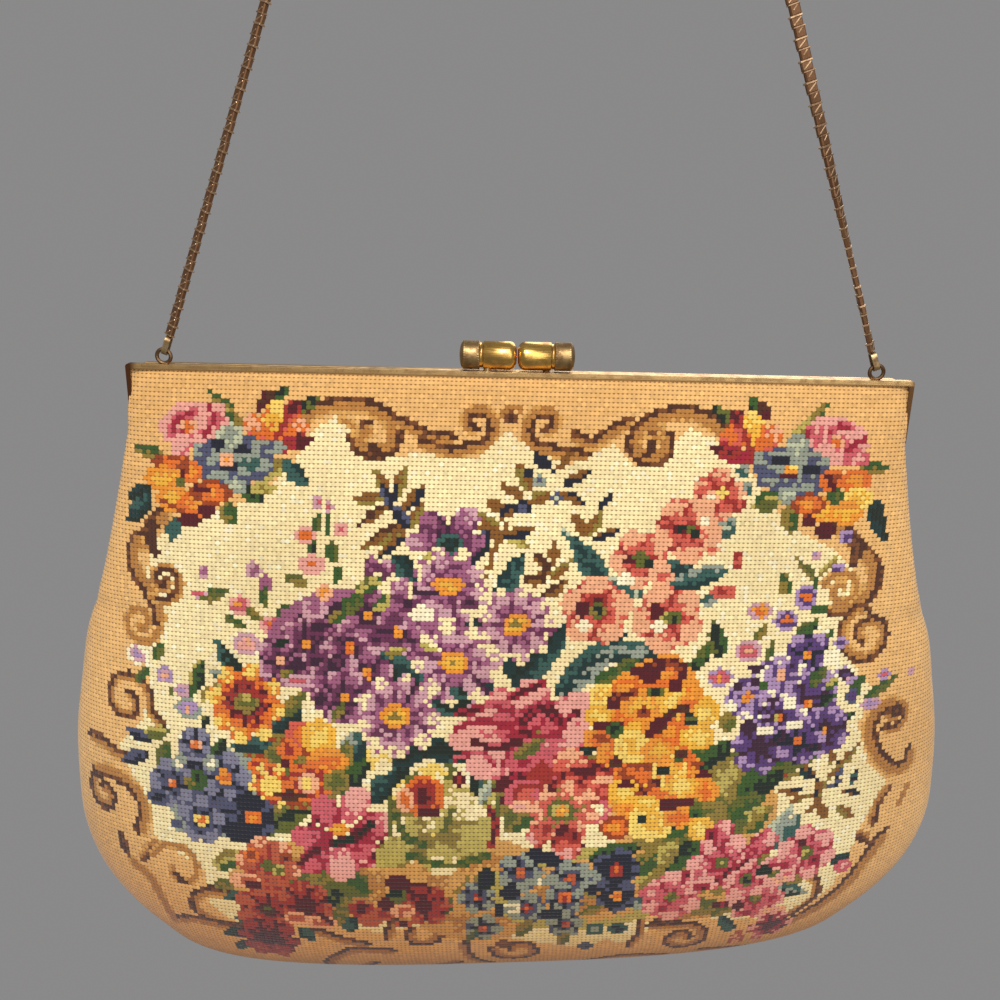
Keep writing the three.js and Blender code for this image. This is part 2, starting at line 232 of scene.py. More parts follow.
def brass_material(name, bright, dark, roughness, stretch, tarnish, extra=None):
    """Brass that darkens in patches; extra(tree, place) may give one more mask of dark metal."""
    material = bpy.data.materials.new(name)
    material.use_nodes = True
    tree = material.node_tree
    shader = tree.nodes["Principled BSDF"]
    place = add_node(tree, "ShaderNodeTexCoord").outputs["Object"]
    aged = add_node(tree, "ShaderNodeGroup", node_tree=AGED)
    tree.links.new(place, aged.inputs["Place"])
    aged.inputs["Stretch"].default_value = stretch
    share = times(tree, aged.outputs["Patches"], tarnish)
    share = times(tree, share, times(tree, aged.outputs["Specks"], 0.25), "ADD")
    if extra:
        share = times(tree, share, extra(tree, place), "MAXIMUM")
    colour = mixed(tree, share, (*bright, 1), (*dark, 1))
    tree.links.new(colour, shader.inputs["Base Color"])
    rough = times(tree, times(tree, share, 0.25), roughness, "ADD")
    rough = times(tree, rough, times(tree, aged.outputs["Scratches"], 0.1), "ADD")
    tree.links.new(rough, shader.inputs["Roughness"])
    bump = add_node(tree, "ShaderNodeBump", {
        "Height": aged.outputs["Scratches"], "Strength": 0.25, "Distance": 0.03 * MM})
    tree.links.new(bump.outputs["Normal"], shader.inputs["Normal"])
    shader.inputs["Metallic"].default_value = 1.0
    return material


def frame_shade_and_tarnish(tree, place):
    """Painted shade and painted reflection along the lip's lower edge, the same dark metal down the
    arms; tarnish round the corners.
    """
    apart = add_node(tree, "ShaderNodeSeparateXYZ", {0: place})
    # Painted shade: the lip's lower edge and everything below it, down the arms, is darkened.
    lip = fade(tree, apart.outputs["Z"], FRAME_TOP - 1.5 * MM, FRAME_TOP - 0.8 * MM, 0.9)
    corner = fade(tree, apart.outputs["X"], -FRAME_WIDTH / 2 + 1 * MM, -FRAME_WIDTH / 2 + 4 * MM)
    far = fade(tree, apart.outputs["X"], FRAME_WIDTH / 2 - 1.5 * MM, FRAME_WIDTH / 2, 0.0, 0.7)
    return times(tree, lip, times(tree, corner, far, "MAXIMUM"), "MAXIMUM")


def chain_wear(tree, place):
    """Dark metal in the flats of the links; the folds, marked in their mesh, stay bright."""
    fold = add_node(tree, "ShaderNodeAttribute", attribute_name="fold").outputs["Fac"]
    grain = add_node(tree, "ShaderNodeTexNoise", {"Vector": place, "Scale": 900.0})
    wear_and_shade = times(tree, fold, fade(tree, grain.outputs["Fac"], 0.3, 0.55, 0.45, 1.0))
    return times(tree, 1.0, wear_and_shade, "SUBTRACT")


# The frame's brass carries painted shade along the lip and down the arms, and tarnish at the
# corners.
frame_brass = brass_material("frame_brass", (0.74, 0.48, 0.2), (0.11, 0.045, 0.02), 0.3,
                             (60, 4000, 4000), 0.35, frame_shade_and_tarnish)
clasp_brass = brass_material("clasp_brass", (0.82, 0.5, 0.13), (0.2, 0.1, 0.035), 0.2,
                             (300, 3000, 3000), 0.5)
band_brass = brass_material("band_brass", (0.42, 0.28, 0.12), (0.14, 0.07, 0.03), 0.38,
                            (3000, 3000, 3000), 0.6)
chain_brass = brass_material("chain_brass", (0.72, 0.5, 0.3), (0.2, 0.1, 0.05), 0.34,
                             (2500, 2500, 2500), 0.4, chain_wear)
hook_brass = brass_material("hook_brass", (0.5, 0.36, 0.18), (0.16, 0.08, 0.035), 0.3,
                            (2500, 2500, 2500), 0.7)
ring_brass = brass_material("ring_brass", (0.2, 0.12, 0.06), (0.08, 0.04, 0.02), 0.36,
                            (2000, 2000, 2000), 0.5)

# %% [markdown]
# The body is a lofted shell. Its form is kept as two short tables that go down the bag: how
# far the fabric has spread from the frame's opening to the full width, and how deep it is.
# A smooth curve through the rows gives the width and the depth at any height.

# %% Form of the bag
BODY_WIDTH = 250 * MM
BODY_HEIGHT = 182 * MM
BODY_DEPTH = 58 * MM
BODY_LEAN = 1.5 * MM
BOTTOM_SKEW = 9 * MM
FULLNESS = 2.8
FRAME_FULLNESS = 9
FRAME_REACH = 62 * MM

SHOULDERS = [  # share of the height, share of the spread, share of the depth
    (0.030, 0.00, 0.120),
    (0.055, 0.01, 0.166),
    (0.090, 0.06, 0.214),
    (0.140, 0.14, 0.283),
    (0.200, 0.24, 0.366),
    (0.270, 0.37, 0.462),
    (0.330, 0.50, 0.545),
    (0.400, 0.71, 0.641),
    (0.480, 0.84, 0.745),
    (0.560, 0.95, 0.845),
    (0.640, 1.00, 0.931),
]
BELLY = [  # share of the height, share of the full width, share of the depth
    (0.720, 1.000, 0.986),
    (0.790, 0.972, 1.000),
    (0.850, 0.920, 0.952),
    (0.900, 0.860, 0.841),
    (0.940, 0.810, 0.676),
    (0.970, 0.747, 0.483),
    (0.990, 0.685, 0.276),
    (1.000, 0.623, 0.009),
]
LEFT_SEAM = [  # share of the height, how far the seam strays forward as a share of the depth
    (0.33, 0.00),
    (0.39, 0.20),
    (0.46, 0.22),
    (0.54, 0.10),
    (0.62, 0.00),
    (0.76, 0.00),
    (0.85, 0.16),
    (0.92, 0.12),
    (1.00, 0.00),
]


def smoothstep(low, high, value):
    share = np.clip((value - low) / (high - low), 0, 1)
    return share * share * (3 - 2 * share)


def smooth_curve(points, samples=24):
    """A centripetal Catmull-Rom curve through the points, as many samples per span."""
    points = np.array(points, float)
    ends = np.vstack([2 * points[0] - points[1], points, 2 * points[-1] - points[-2]])
    curve = []
    for p0, p1, p2, p3 in zip(ends, ends[1:], ends[2:], ends[3:]):
        k1 = np.linalg.norm(p1 - p0) ** 0.5
        k2 = k1 + np.linalg.norm(p2 - p1) ** 0.5
        k3 = k2 + np.linalg.norm(p3 - p2) ** 0.5
        k = np.linspace(k1, k2, samples, endpoint=False)[:, None]
        a1 = (k1 - k) / k1 * p0 + k / k1 * p1
        a2 = (k2 - k) / (k2 - k1) * p1 + (k - k1) / (k2 - k1) * p2
        a3 = (k3 - k) / (k3 - k2) * p2 + (k - k2) / (k3 - k2) * p3
        b1 = (k2 - k) / k2 * a1 + k / k2 * a2
        b2 = (k3 - k) / (k3 - k1) * a2 + (k - k1) / (k3 - k1) * a3
        curve.append((k2 - k) / (k2 - k1) * b1 + (k - k1) / (k2 - k1) * b2)
    curve.append(points[-1:])
    return np.vstack(curve)


OPENING = FRAME_WIDTH / 2 - LIP_WIDTH - GAP
TUCKED = FRAME_FRONT - LIP_SHEET - GAP


def body_rows():
    """Drop below the frame's top, half width and half depth of each row, in metres."""
    rows = [
        (SHEET + GAP, OPENING, TUCKED),
        (LIP_HEIGHT, OPENING, TUCKED),
        (LIP_HEIGHT + 2 * GAP, OPENING, TUCKED + GAP),
        (LIP_HEIGHT + 4 * GAP, OPENING, FRAME_FRONT + 1.5 * GAP),
    ]
    for drop, spread, depth in SHOULDERS:
        width = OPENING + spread * (BODY_WIDTH / 2 - OPENING)
        rows.append((drop * BODY_HEIGHT, width, depth * BODY_DEPTH / 2))
    for drop, width, depth in BELLY:
        rows.append((drop * BODY_HEIGHT, width * BODY_WIDTH / 2, depth * BODY_DEPTH / 2))
    return smooth_curve(rows)


ROWS = body_rows()
print("body rows:", len(ROWS), "from", ROWS[0].round(4), "to", ROWS[-1].round(4))

# %% [markdown]
# A section of the bag at one height is a superellipse: full and flat across the front, tight
# round the side. Beside the frame's arms the fabric turns back to the arm, and below the hinge
# it ends at the side seam, where it meets the other panel. At the top it is tucked behind the
# lip. A little lower it comes forward and covers the arm, down to near the hinge.

# %% Sections of a panel
SECTION_SAMPLES = 400
EDGE_GAP = 0.1 * MM
OUT_OF_LIP = 11 * MM
ARM_COVERED = (8 * MM, 14 * MM)
ARM_BARE = (30 * MM, 48 * MM)


def left_seam_at(drop):
    share = drop / BODY_HEIGHT
    table = np.array(LEFT_SEAM)
    return float(np.interp(share, table[:, 0], table[:, 1], left=0))


def section(drop, side, inside=0.0):
    """Points across one height of a panel, left to right, as rows of [across, forward]."""
    width = np.interp(drop, ROWS[:, 0], ROWS[:, 1])
    depth = np.interp(drop, ROWS[:, 0], ROWS[:, 2])
    inset = INSET if side > 0 else 0
    width -= inset * (1 - smoothstep(0.05 * ARM_LENGTH, ARM_LENGTH, drop)) + inside
    ear = ARM_LENGTH + FRAME_FRONT + GAP
    below_hinge = smoothstep(ear, ear + 8 * MM, drop)
    rise = smoothstep(LIP_HEIGHT, OUT_OF_LIP, drop)
    flange = smoothstep(0, 2 * MM, drop) * (1 - below_hinge)
    base = 1.5 * GAP + rise * (FRAME_FRONT + GAP - 1.5 * GAP)
    base += below_hinge * (GAP / 2 - base)
    least = base + (0.1 if inside else 0.2) * MM
    depth = max(depth - inside, least)
    seam = -side * left_seam_at(drop) * depth
    turn = math.asin(min(max(seam / (depth - base), -0.9), 0.9))
    angle = np.linspace(math.pi - turn, 0, SECTION_SAMPLES)
    cosine = np.cos(angle)
    power = 2 / (FRAME_FULLNESS + smoothstep(0, FRAME_REACH, drop) * (FULLNESS - FRAME_FULLNESS))
    across = width * np.sign(cosine) * np.abs(cosine) ** power
    forward = base + (depth - base) * np.sin(angle)
    over_arm = smoothstep(*ARM_COVERED, drop) * (1 - smoothstep(*ARM_BARE, drop))
    held = FRAME_WIDTH / 2 - inset - (SHEET + EDGE_GAP) * (1 - over_arm)
    right_edge = across[-1] + flange * (held - across[-1])
    left_edge = across[0] - flange * (held + across[0])
    across = np.concatenate([[left_edge], across, [right_edge]])
    forward = np.concatenate([[forward[0]], forward, [forward[-1]]])
    return np.stack([across, forward], axis=1)


# %% [markdown]
# The stitches are laid over that form. Each row of stitches lies at one height and is measured
# along the section from the middle, so every stitch keeps its real width where the fabric turns
# away to the side. Rows are spaced along the middle of the bag in the same way, so they close
# up in the view where the fabric turns under the bottom.

# %% Laying the stitches over the form
STITCH = 1.16 * MM


def row_drops(pitch, inside=0.0):
    """Heights of the rows that are one pitch apart along the middle of a panel."""
    depth = np.maximum(ROWS[:, 2] - inside, 0)
    steps = np.hypot(np.diff(ROWS[:, 0]), np.diff(depth))
    along = np.concatenate([[0], np.cumsum(steps)])
    count = max(round(along[-1] / pitch), 1)
    return np.interp(np.linspace(0, along[-1], count + 1), along, ROWS[:, 0])


def place_on_body(across, forward, drop, side):
    share = drop / BODY_HEIGHT
    lean = BODY_LEAN * np.sin(math.pi * share)
    skew = BOTTOM_SKEW * (across / (BODY_WIDTH / 2)) * share**2
    return np.stack([across - lean, MIDDLE + side * forward, FRAME_TOP - drop + skew], axis=-1)


def panel_surface(side, pitch, inside=0.0):
    """Places of the grid's corners on a panel, rows going down and columns left to right."""
    drops = row_drops(pitch, inside)
    half = math.ceil(0.62 * (BODY_WIDTH + 0.5 * BODY_DEPTH) / pitch)
    columns = np.arange(-half, half + 1) * pitch
    rows = []
    for drop in drops:
        points = section(drop, side, inside)
        steps = np.hypot(*np.diff(points, axis=0).T)
        along = np.concatenate([[0], np.cumsum(steps)])
        along -= np.interp(0, points[:, 0], along)
        across = np.interp(columns, along, points[:, 0])
        forward = np.interp(columns, along, points[:, 1])
        rows.append(place_on_body(across, forward, drop, side))
    return np.array(rows)


def grid_on_surface(surface):
    """A bmesh grid moved onto a surface, its uv map counting columns and rows of stitches."""
    rows, columns = surface.shape[:2]
    bm = bmesh.new()
    uv = bm.loops.layers.uv.new("stitches")
    bmesh.ops.create_grid(bm, x_segments=columns - 1, y_segments=rows - 1, size=0.5)
    for face in bm.faces:
        for loop in face.loops:
            place = loop.vert.co
            loop[uv].uv = ((place.x + 0.5) * (columns - 1), (place.y + 0.5) * (rows - 1))
    for vertex in bm.verts:
        column = round((vertex.co.x + 0.5) * (columns - 1))
        row = rows - 1 - round((vertex.co.y + 0.5) * (rows - 1))
        vertex.co = surface[row, column]
    bmesh.ops.remove_doubles(bm, verts=bm.verts, dist=0.02 * MM)
    bmesh.ops.dissolve_degenerate(bm, edges=bm.edges, dist=0.02 * MM)
    return bm


# %% [markdown]
# The needlepoint is charted the way such work is designed: on squared paper, one square to a
# stitch. Every wool has a name. Places on the chart are counted in stitches, the column from the
# middle of the bag and the row from its top, so (-60, 76) is sixty stitches left of the middle
# and seventy-six down.

# %% Wools
WOOLS = {  # sRGB, 0 to 255
    "camel": (238, 188, 116), "sand": (216, 160, 94), "cream": (252, 234, 176),
    "ivory": (253, 243, 202), "brown": (78, 40, 18), "umber": (118, 68, 30),
    "tan": (184, 126, 58), "honey": (216, 162, 84), "pink": (238, 168, 154),
    "rose": (208, 92, 102), "ruby": (160, 30, 52), "maroon": (84, 16, 26),
    "peach": (242, 176, 132), "coral": (212, 92, 74), "brick": (158, 44, 36),
    "orange": (226, 112, 34), "amber": (236, 150, 44), "gold": (240, 182, 58),
    "lemon": (248, 214, 104), "rust": (152, 62, 20), "mauve": (206, 158, 168),
    "orchid": (158, 92, 124), "violet": (102, 44, 78), "plum": (58, 26, 50),
    "lilac": (172, 142, 184), "purple": (84, 56, 114), "slate": (76, 80, 108),
    "dusk": (128, 128, 150), "navy": (24, 28, 44), "mist": (148, 158, 142),
    "sky": (190, 198, 166), "teal": (50, 90, 82), "spruce": (18, 50, 48), "pine": (20, 36, 24),
    "green": (54, 86, 32), "moss": (94, 100, 34), "olive": (140, 120, 46), "lime": (188, 172, 84),
    "bronze": (132, 84, 26), "clay": (188, 88, 54),
}
CHART_HALF = 150
CHART_ROWS = len(row_drops(STITCH)) - 1
RAGGED = 1.0
rng = np.random.default_rng(22)
ROW, COLUMN = np.mgrid[0:CHART_ROWS, -CHART_HALF:CHART_HALF] + 0.5
STRAY = rng.uniform(-0.5, 0.5, ROW.shape)
chart = np.empty(ROW.shape + (3,))
print(f"chart: {CHART_ROWS} rows of {2 * CHART_HALF} stitches, {len(WOOLS)} wools")

# %% [markdown]
# The painters fill stitches. Each takes its wools in order, from the base of a petal to its tip
# or from the heart of a round to its rim. The steps between two wools are left a little ragged,
# which is how a stitcher shades with whole stitches.

# %% Painters
def fill(mask, wools, depth):
    """Fill the masked stitches, the depth from 0 to 1 choosing among the wools."""
    wools = wools.split()
    step = np.clip((depth * len(wools) + RAGGED * STRAY).astype(int), 0, len(wools) - 1)
    shades = np.array([WOOLS[name] for name in wools], float) / 255
    chart[mask] = shades[step[mask]]


def frame_of(base, tip):
    """Share of the way from base to tip and distance to the left of it, for every stitch."""
    base, tip = np.array(base, float), np.array(tip, float)
    length = np.linalg.norm(tip - base)
    ahead = (tip - base) / length
    across, down = COLUMN - base[0], ROW - base[1]
    return (across * ahead[0] + down * ahead[1]) / length, across * ahead[1] - down * ahead[0]


def petal(wools, base, tip, width):
    """A petal that shades from base to tip, with its sides a step darker than its middle."""
    share, off = frame_of(base, tip)
    inside = np.clip(share, 0, 1)
    half = width / 2 * np.sqrt(np.sin(math.pi * inside**1.4))
    mask = (np.abs(off) <= half) & (share > 0) & (share < 1)
    depth = inside - 0.34 * (half - np.abs(off) < 0.9) * (half > 1.4) * (STRAY < 0.3)
    fill(mask, wools, np.clip(depth, 0, 1))


def leaf(wools, base, tip, width):
    """The first wool lies on the left of the leaf as it grows, the last one on its right."""
    share, off = frame_of(base, tip)
    inside = np.clip(share, 0, 1)
    half = width / 2 * np.sin(math.pi * inside**0.85) ** 0.8 + 1e-6
    mask = (np.abs(off) <= half) & (share > 0) & (share < 1)
    fill(mask, wools, np.clip(0.5 - off / width, 0, 0.999))


def dab(wools, centre, across, down=None, turn=0):
    """A round or oval spot, its wools from the middle outwards."""
    down = down or across
    angle = math.radians(turn)
    dx, dy = COLUMN - centre[0], ROW - centre[1]
    u = (dx * math.cos(angle) + dy * math.sin(angle)) / across
    v = (dy * math.cos(angle) - dx * math.sin(angle)) / down
    depth = np.hypot(u, v)
    fill(depth <= 1, wools, depth)


def flower(wools, heart, centre, radius, petals=5, turn=0, heart_radius=1.6, squash=1.0):
    for index in range(petals):
        angle = math.radians(turn + 360 * index / petals)
        tip = (centre[0] + radius * math.cos(angle), centre[1] + squash * radius * math.sin(angle))
        petal(wools, centre, tip, 4.6 * radius / petals)
    dab(heart, centre, heart_radius)


def away_from(points):
    """Distance of every stitch from a curve, and on which side of it the stitch lies."""
    curve = smooth_curve(points, 10)
    nearest = np.full(ROW.shape, 1e9)
    side = np.zeros(ROW.shape)
    for start, end in zip(curve, curve[1:]):
        step = end - start
        length = np.hypot(*step) + 1e-9
        dx, dy = COLUMN - start[0], ROW - start[1]
        share = np.clip((dx * step[0] + dy * step[1]) / length**2, 0, 1)
        distance = np.hypot(dx - share * step[0], dy - share * step[1])
        closer = distance < nearest
        nearest[closer] = distance[closer]
        side[closer] = np.sign(step[0] * dy - step[1] * dx)[closer]
    return nearest, side


def line(wools, width, *points):
    nearest, _ = away_from(points)
    fill(nearest <= width / 2, wools, nearest / (width / 2 + 1e-9))


def scroll(width, shade, *points):
    """A scrolled band of two tans, with a brown line along its right (1) or left (-1) edge."""
    width *= 0.8
    nearest, side = away_from(points)
    fill(nearest <= width / 2, "tan tan honey", nearest / (width / 2))
    if shade:
        edge = (nearest > width / 2 - 0.9) & (nearest <= width / 2 + 0.4) & (side == shade)
        fill(edge, "brown umber", STRAY + 0.3)


def curl(width, shade, centre, radius, start, turns, tail=()):
    """A scroll that winds inwards from an angle in degrees, clockwise for positive turns."""
    points = [tuple(point) for point in tail]
    for share in np.linspace(0, 1, max(round(abs(turns) * 9), 4)):
        angle = math.radians(start + 360 * turns * share)
        reach = radius * (1 - 0.78 * share)
        points.append((centre[0] + reach * math.cos(angle), centre[1] + reach * math.sin(angle)))
    scroll(width, shade, *points)


def paint(table):
    for painter, *how in table:
        painter(*how)


# %% [markdown]
# The ground is camel round the edge and cream inside the scrolled border.

# %% Ground
CREAM_EDGE = [
    (-45, 13), (-40, 10), (-35, 14), (-33, 19), (-26, 19), (-17, 17), (-9, 19), (-2, 13),
    (4, 17), (12, 20), (22, 15), (27, 20), (33, 17), (38, 11), (45, 14), (52, 20), (62, 33),
    (72, 38), (79, 44), (82, 50), (76, 56), (78, 64), (86, 74), (83, 82), (86, 92), (92, 99),
    (87, 108), (84, 116), (80, 128), (70, 136), (52, 133), (36, 128), (20, 142), (0, 136),
    (-14, 130), (-30, 134), (-44, 130), (-62, 136), (-72, 128), (-72, 118), (-84, 112),
    (-87, 104), (-90, 96), (-93, 90), (-86, 82), (-84, 74), (-86, 66), (-80, 58), (-84, 48),
    (-82, 40), (-76, 34), (-60, 30), (-50, 22),
]


def inside_outline(outline):
    inside = np.zeros(ROW.shape, bool)
    for (x0, y0), (x1, y1) in zip(outline, outline[1:] + outline[:1]):
        crosses = (y0 > ROW) != (y1 > ROW)
        at = x0 + (ROW - y0) * (x1 - x0) / (y1 - y0 + 1e-9)
        inside ^= crosses & (COLUMN < at)
    return inside


fill(ROW > 0, "camel camel camel camel camel sand", np.clip(0.6 * STRAY + 0.42, 0, 0.99))
cream_ground = inside_outline(CREAM_EDGE)
fill(cream_ground, "ivory cream cream cream cream", np.clip(0.5 * STRAY + 0.5, 0, 0.99))
print(f"cream ground: {cream_ground.sum()} stitches")

# %% [markdown]
# The border is drawn next: bands that end in curls, along the top, down both sides and under
# the bottom, each with a dark line on one edge.

# %% Scrolled border
SCROLLS = [
    # along the top, from the left bouquet to the right one
    (scroll, 4.4, -1, (-48, 12), (-44, 9), (-39, 8.2), (-33, 8.6), (-29, 10.5), (-27.4, 14),
     (-28, 16.6), (-31, 17.6), (-34, 17), (-35.4, 15), (-33.6, 13.2)),
    (line, "tan honey", 2, (-39, 11), (-36.6, 12.6), (-36, 14)),
    (line, "brown", 1.7, (-32.6, 16.6), (-31, 17.2)),
    (scroll, 3.6, -1, (-26, 11.4), (-22, 13.6), (-18.6, 15), (-15, 14.8)),
    (curl, 3.4, -1, (-9.4, 11.4), 5.6, 100, -0.95, [(-21, 16), (-15, 18)]),
    (dab, "brown umber", (-1.4, 9.8), 1.5),
    (line, "tan", 1.3, (-3.6, 9.6), (-2, 7.4), (0.4, 8)),
    (curl, 3.4, 1, (6.4, 11.4), 5.6, 80, 0.95, [(15, 18.2)]),
    (scroll, 3.6, 1, (24.4, 10.6), (20, 13.4), (16.6, 15.4), (13, 14)),
    (scroll, 4.4, 1, (46, 12), (43, 10), (38, 8.2), (33, 8.8), (28.4, 11), (26.4, 14),
     (27, 16.8), (30, 18), (33, 16.6), (33, 14), (31, 13.4)),
    (line, "brown", 1.7, (29, 17.4), (30.4, 16.2), (30, 15)),
    (line, "tan honey", 2, (31, 11.4), (32.4, 12.8)),
    # down the left side
    (scroll, 4.6, 1, (-79, 34), (-82, 37), (-84, 41)),
    (line, "brown", 2.4, (-81.6, 36), (-82.6, 40), (-81.6, 42.4)),
    (scroll, 4.2, 1, (-86, 40), (-87.4, 44), (-86, 48), (-83.4, 51.6), (-81.6, 55),
     (-81, 58.6)),
    (curl, 2.6, -1, (-79.6, 49.2), 5.2, 130, -1.35, [(-82, 53)]),
    (curl, 2.8, 0, (-86, 59.6), 5.2, 10, 1.3),
    (curl, 2.8, 1, (-90.4, 78.6), 7, 20, -1.2, [(-81.6, 83)]),
    (scroll, 3.6, -1, (-102, 90), (-98, 90.4), (-95, 92), (-91, 93)),
    (curl, 3.4, 1, (-99, 103), 5, 280, -1.0),
    (scroll, 4.4, 1, (-101, 97.4), (-94, 97.4), (-89, 100.4), (-86.8, 105), (-88.4, 110)),
    (leaf, "honey tan umber brown", (-90, 119), (-84, 111.6), 3.4),
    (leaf, "umber brown", (-95.4, 112), (-93.4, 119), 3),
    (curl, 2.6, 0, (-79, 119), 7.6, 200, 0.95),
    (line, "brown", 2, (-80, 120.4), (-78.4, 122.4)),
    (scroll, 3.4, 1, (-66, 124.4), (-72, 124.4), (-75.6, 127), (-75.4, 131), (-70, 133.6)),
    (scroll, 3.8, 1, (-60, 134.6), (-68, 135.4), (-77, 134.6), (-82, 136)),
    (scroll, 4, 0, (-92, 120), (-88, 123), (-85.6, 129), (-84, 137)),
    # down the right side
    (scroll, 5, -1, (74, 34), (79, 38.6), (83, 43), (83.4, 48), (79.6, 52), (75, 53)),
    (line, "umber brown", 2.6, (76.4, 36), (78.6, 39), (78, 42)),
    (line, "brown", 1.4, (84.6, 45), (83.6, 50.6), (79, 53.8)),
    (curl, 2.8, 0, (76, 48.6), 4.8, 200, 1.25),
    (curl, 3.2, 1, (83.6, 60), 7.2, 250, -1.3, [(82, 54)]),
    (curl, 3, -1, (93, 81), 4.4, 120, -1.1),
    (scroll, 4.6, -1, (92, 78), (88.6, 79), (86.4, 82), (86.6, 87), (90, 93), (94.6, 96.4),
     (98.6, 95.4), (99, 92.6)),
    (scroll, 3, -1, (92.6, 101), (90, 104), (89, 109.4)),
    (line, "tan", 1.6, (99, 102), (97, 106)),
    (leaf, "tan umber brown", (85, 111.4), (89.6, 115.6), 3.2),
    (leaf, "brown umber", (91.4, 116), (94.6, 111.6), 2.6),
    (scroll, 5, 1, (93, 115), (89.4, 120.4), (86, 126), (80.6, 132.4), (74, 137.4), (69, 140.4)),
    (scroll, 2.6, -1, (72, 121.4), (75, 123.6), (76, 129), (70, 135)),
    # along the bottom and under it
    (scroll, 3.4, 1, (-34, 139), (-40, 137), (-46, 134)),
    (curl, 3.2, -1, (-20.4, 134.4), 7.4, 170, 1.1),
    (scroll, 4, -1, (-48, 170), (-45, 158), (-43, 148), (-37, 142), (-28, 142)),
    (scroll, 3.6, 1, (-38, 168), (-37, 158), (-33, 150)),
    (scroll, 3.4, -1, (-10, 139), (-8, 147), (-4, 152)),
    (curl, 3.4, 1, (3.6, 142), 6, 190, -1.0),
    (dab, "ivory cream cream", (29.4, 134), 5.4, 6),
    (scroll, 2.6, 1, (27, 127.6), (32.6, 130), (33.4, 135), (31, 142)),
    (scroll, 3.4, -1, (38, 132.4), (43, 131), (50, 130.6)),
    (curl, 3.6, -1, (43.6, 140), 5.6, 300, 1.1, [(36, 134)]),
    (scroll, 4.4, 1, (-24, 168), (-18, 156), (-12, 150)),
    (scroll, 4, -1, (14, 166), (20, 156), (30, 150), (40, 152)),
    (scroll, 4, 1, (70, 166), (60, 154), (50, 150)),
]
paint(SCROLLS)

# %% [markdown]
# Two matching bouquets sit in the upper corners: a pink rose, a red and yellow tulip, a
# slate-blue flower and a golden one.

# %% Corner bouquets
LEFT_BOUQUET = [
    (leaf, "olive green", (-79, 19.6), (-87, 19), 3), (leaf, "olive green", (-62, 12), (-69, 5), 3),
    (leaf, "lime olive", (-61, 15), (-66, 8), 4), (dab, "green", (-64, 11.4), 1.3),
    (leaf, "moss olive lime", (-58, 24), (-49.6, 20), 4.4),
    (leaf, "spruce teal teal", (-51.6, 20.4), (-46, 26.4), 4),
    (leaf, "pine green", (-62.4, 25.6), (-55.4, 30), 4), (dab, "olive lime", (-56.4, 26.8), 3, 1.6),
    (leaf, "green olive", (-64.4, 30), (-63, 35.6), 4),
    (leaf, "pine spruce", (-81.4, 27), (-88.6, 31), 3.8),
    (leaf, "pine spruce teal", (-82, 29.4), (-88.6, 36.4), 4.4),
    (leaf, "teal", (-76.4, 34.4), (-77.6, 40), 3.6),
    # rose
    (dab, "rose pink pink", (-72.6, 13), 7.4, 5.2, -12), (dab, "pink", (-75, 18.4), 2.4, 2),
    (dab, "rose pink", (-67, 12), 2.6, 4.4),
    (line, "ruby rose", 2, (-77, 15), (-76, 12), (-72, 10)),
    (line, "ruby", 1.2, (-68.6, 8.6), (-67.6, 12), (-69.6, 15.6)),
    (dab, "orange peach", (-73, 13.4), 1.8), (dab, "ruby", (-74.6, 14.4), 0.9),
    (line, "rose", 1.4, (-72, 17), (-75, 20)),
    # tulip
    (petal, "coral orange peach", (-54, 17), (-60.4, 11), 5),
    (petal, "maroon brown", (-58, 10), (-54.4, 4.6), 3),
    (petal, "orange gold lemon", (-54, 17), (-53.4, 7), 6),
    (leaf, "pine green", (-54, 7), (-51, 3.8), 2.4),
    (petal, "brick maroon", (-52, 12), (-48.6, 7), 4),
    (petal, "coral orange peach", (-52, 16), (-47, 11), 5),
    (petal, "ruby brick maroon", (-56, 18), (-45, 15.4), 3.6),
    (line, "brick", 1.2, (-54.6, 17), (-51, 11)),
    (leaf, "pine moss", (-48.4, 9.6), (-44.4, 6), 2.6),
    # slate-blue flower
    (dab, "mist mist slate", (-62.6, 20.4), 9, 5.6), (dab, "mist sky", (-63.6, 15), 3, 2.6),
    (dab, "slate mist", (-69, 18.6), 3.4, 1.8), (dab, "mist slate", (-66.4, 24), 4, 2.6),
    (dab, "teal mist", (-58.6, 21.4), 4.4, 2), (dab, "slate mist", (-55.4, 17.4), 4, 1.9),
    (dab, "sky mist", (-62.6, 26.4), 2.6, 2), (dab, "navy", (-61, 18.2), 2, 1),
    (dab, "navy", (-66.4, 17.4), 1.8, 1.2), (dab, "navy", (-64, 22.2), 2.4, 0.9),
    (dab, "amber peach", (-64.4, 20.4), 1.8, 1.4),
    # golden flower
    (dab, "orange rust", (-77, 21.4), 5, 1.9), (dab, "gold amber", (-79, 25.4), 4.6, 3),
    (dab, "gold amber", (-76.4, 30), 4.6, 3.2), (dab, "amber orange", (-71.6, 31), 4, 3.2),
    (dab, "amber orange rust", (-68, 28), 4.6, 2.8),
    (dab, "amber orange", (-72.4, 23.4), 2.4, 2.6),
    (line, "maroon rust", 1.6, (-74.4, 24.4), (-73.6, 21)), (dab, "moss", (-75, 26), 1.3),
    (line, "maroon", 1.4, (-71.4, 27), (-69, 27.8)), (dab, "maroon", (-69, 32.4), 2.2, 1.5),
    (dab, "maroon", (-73, 34.8), 2.6, 1.6), (line, "rust", 1.2, (-80, 30), (-75, 32.6)),
]
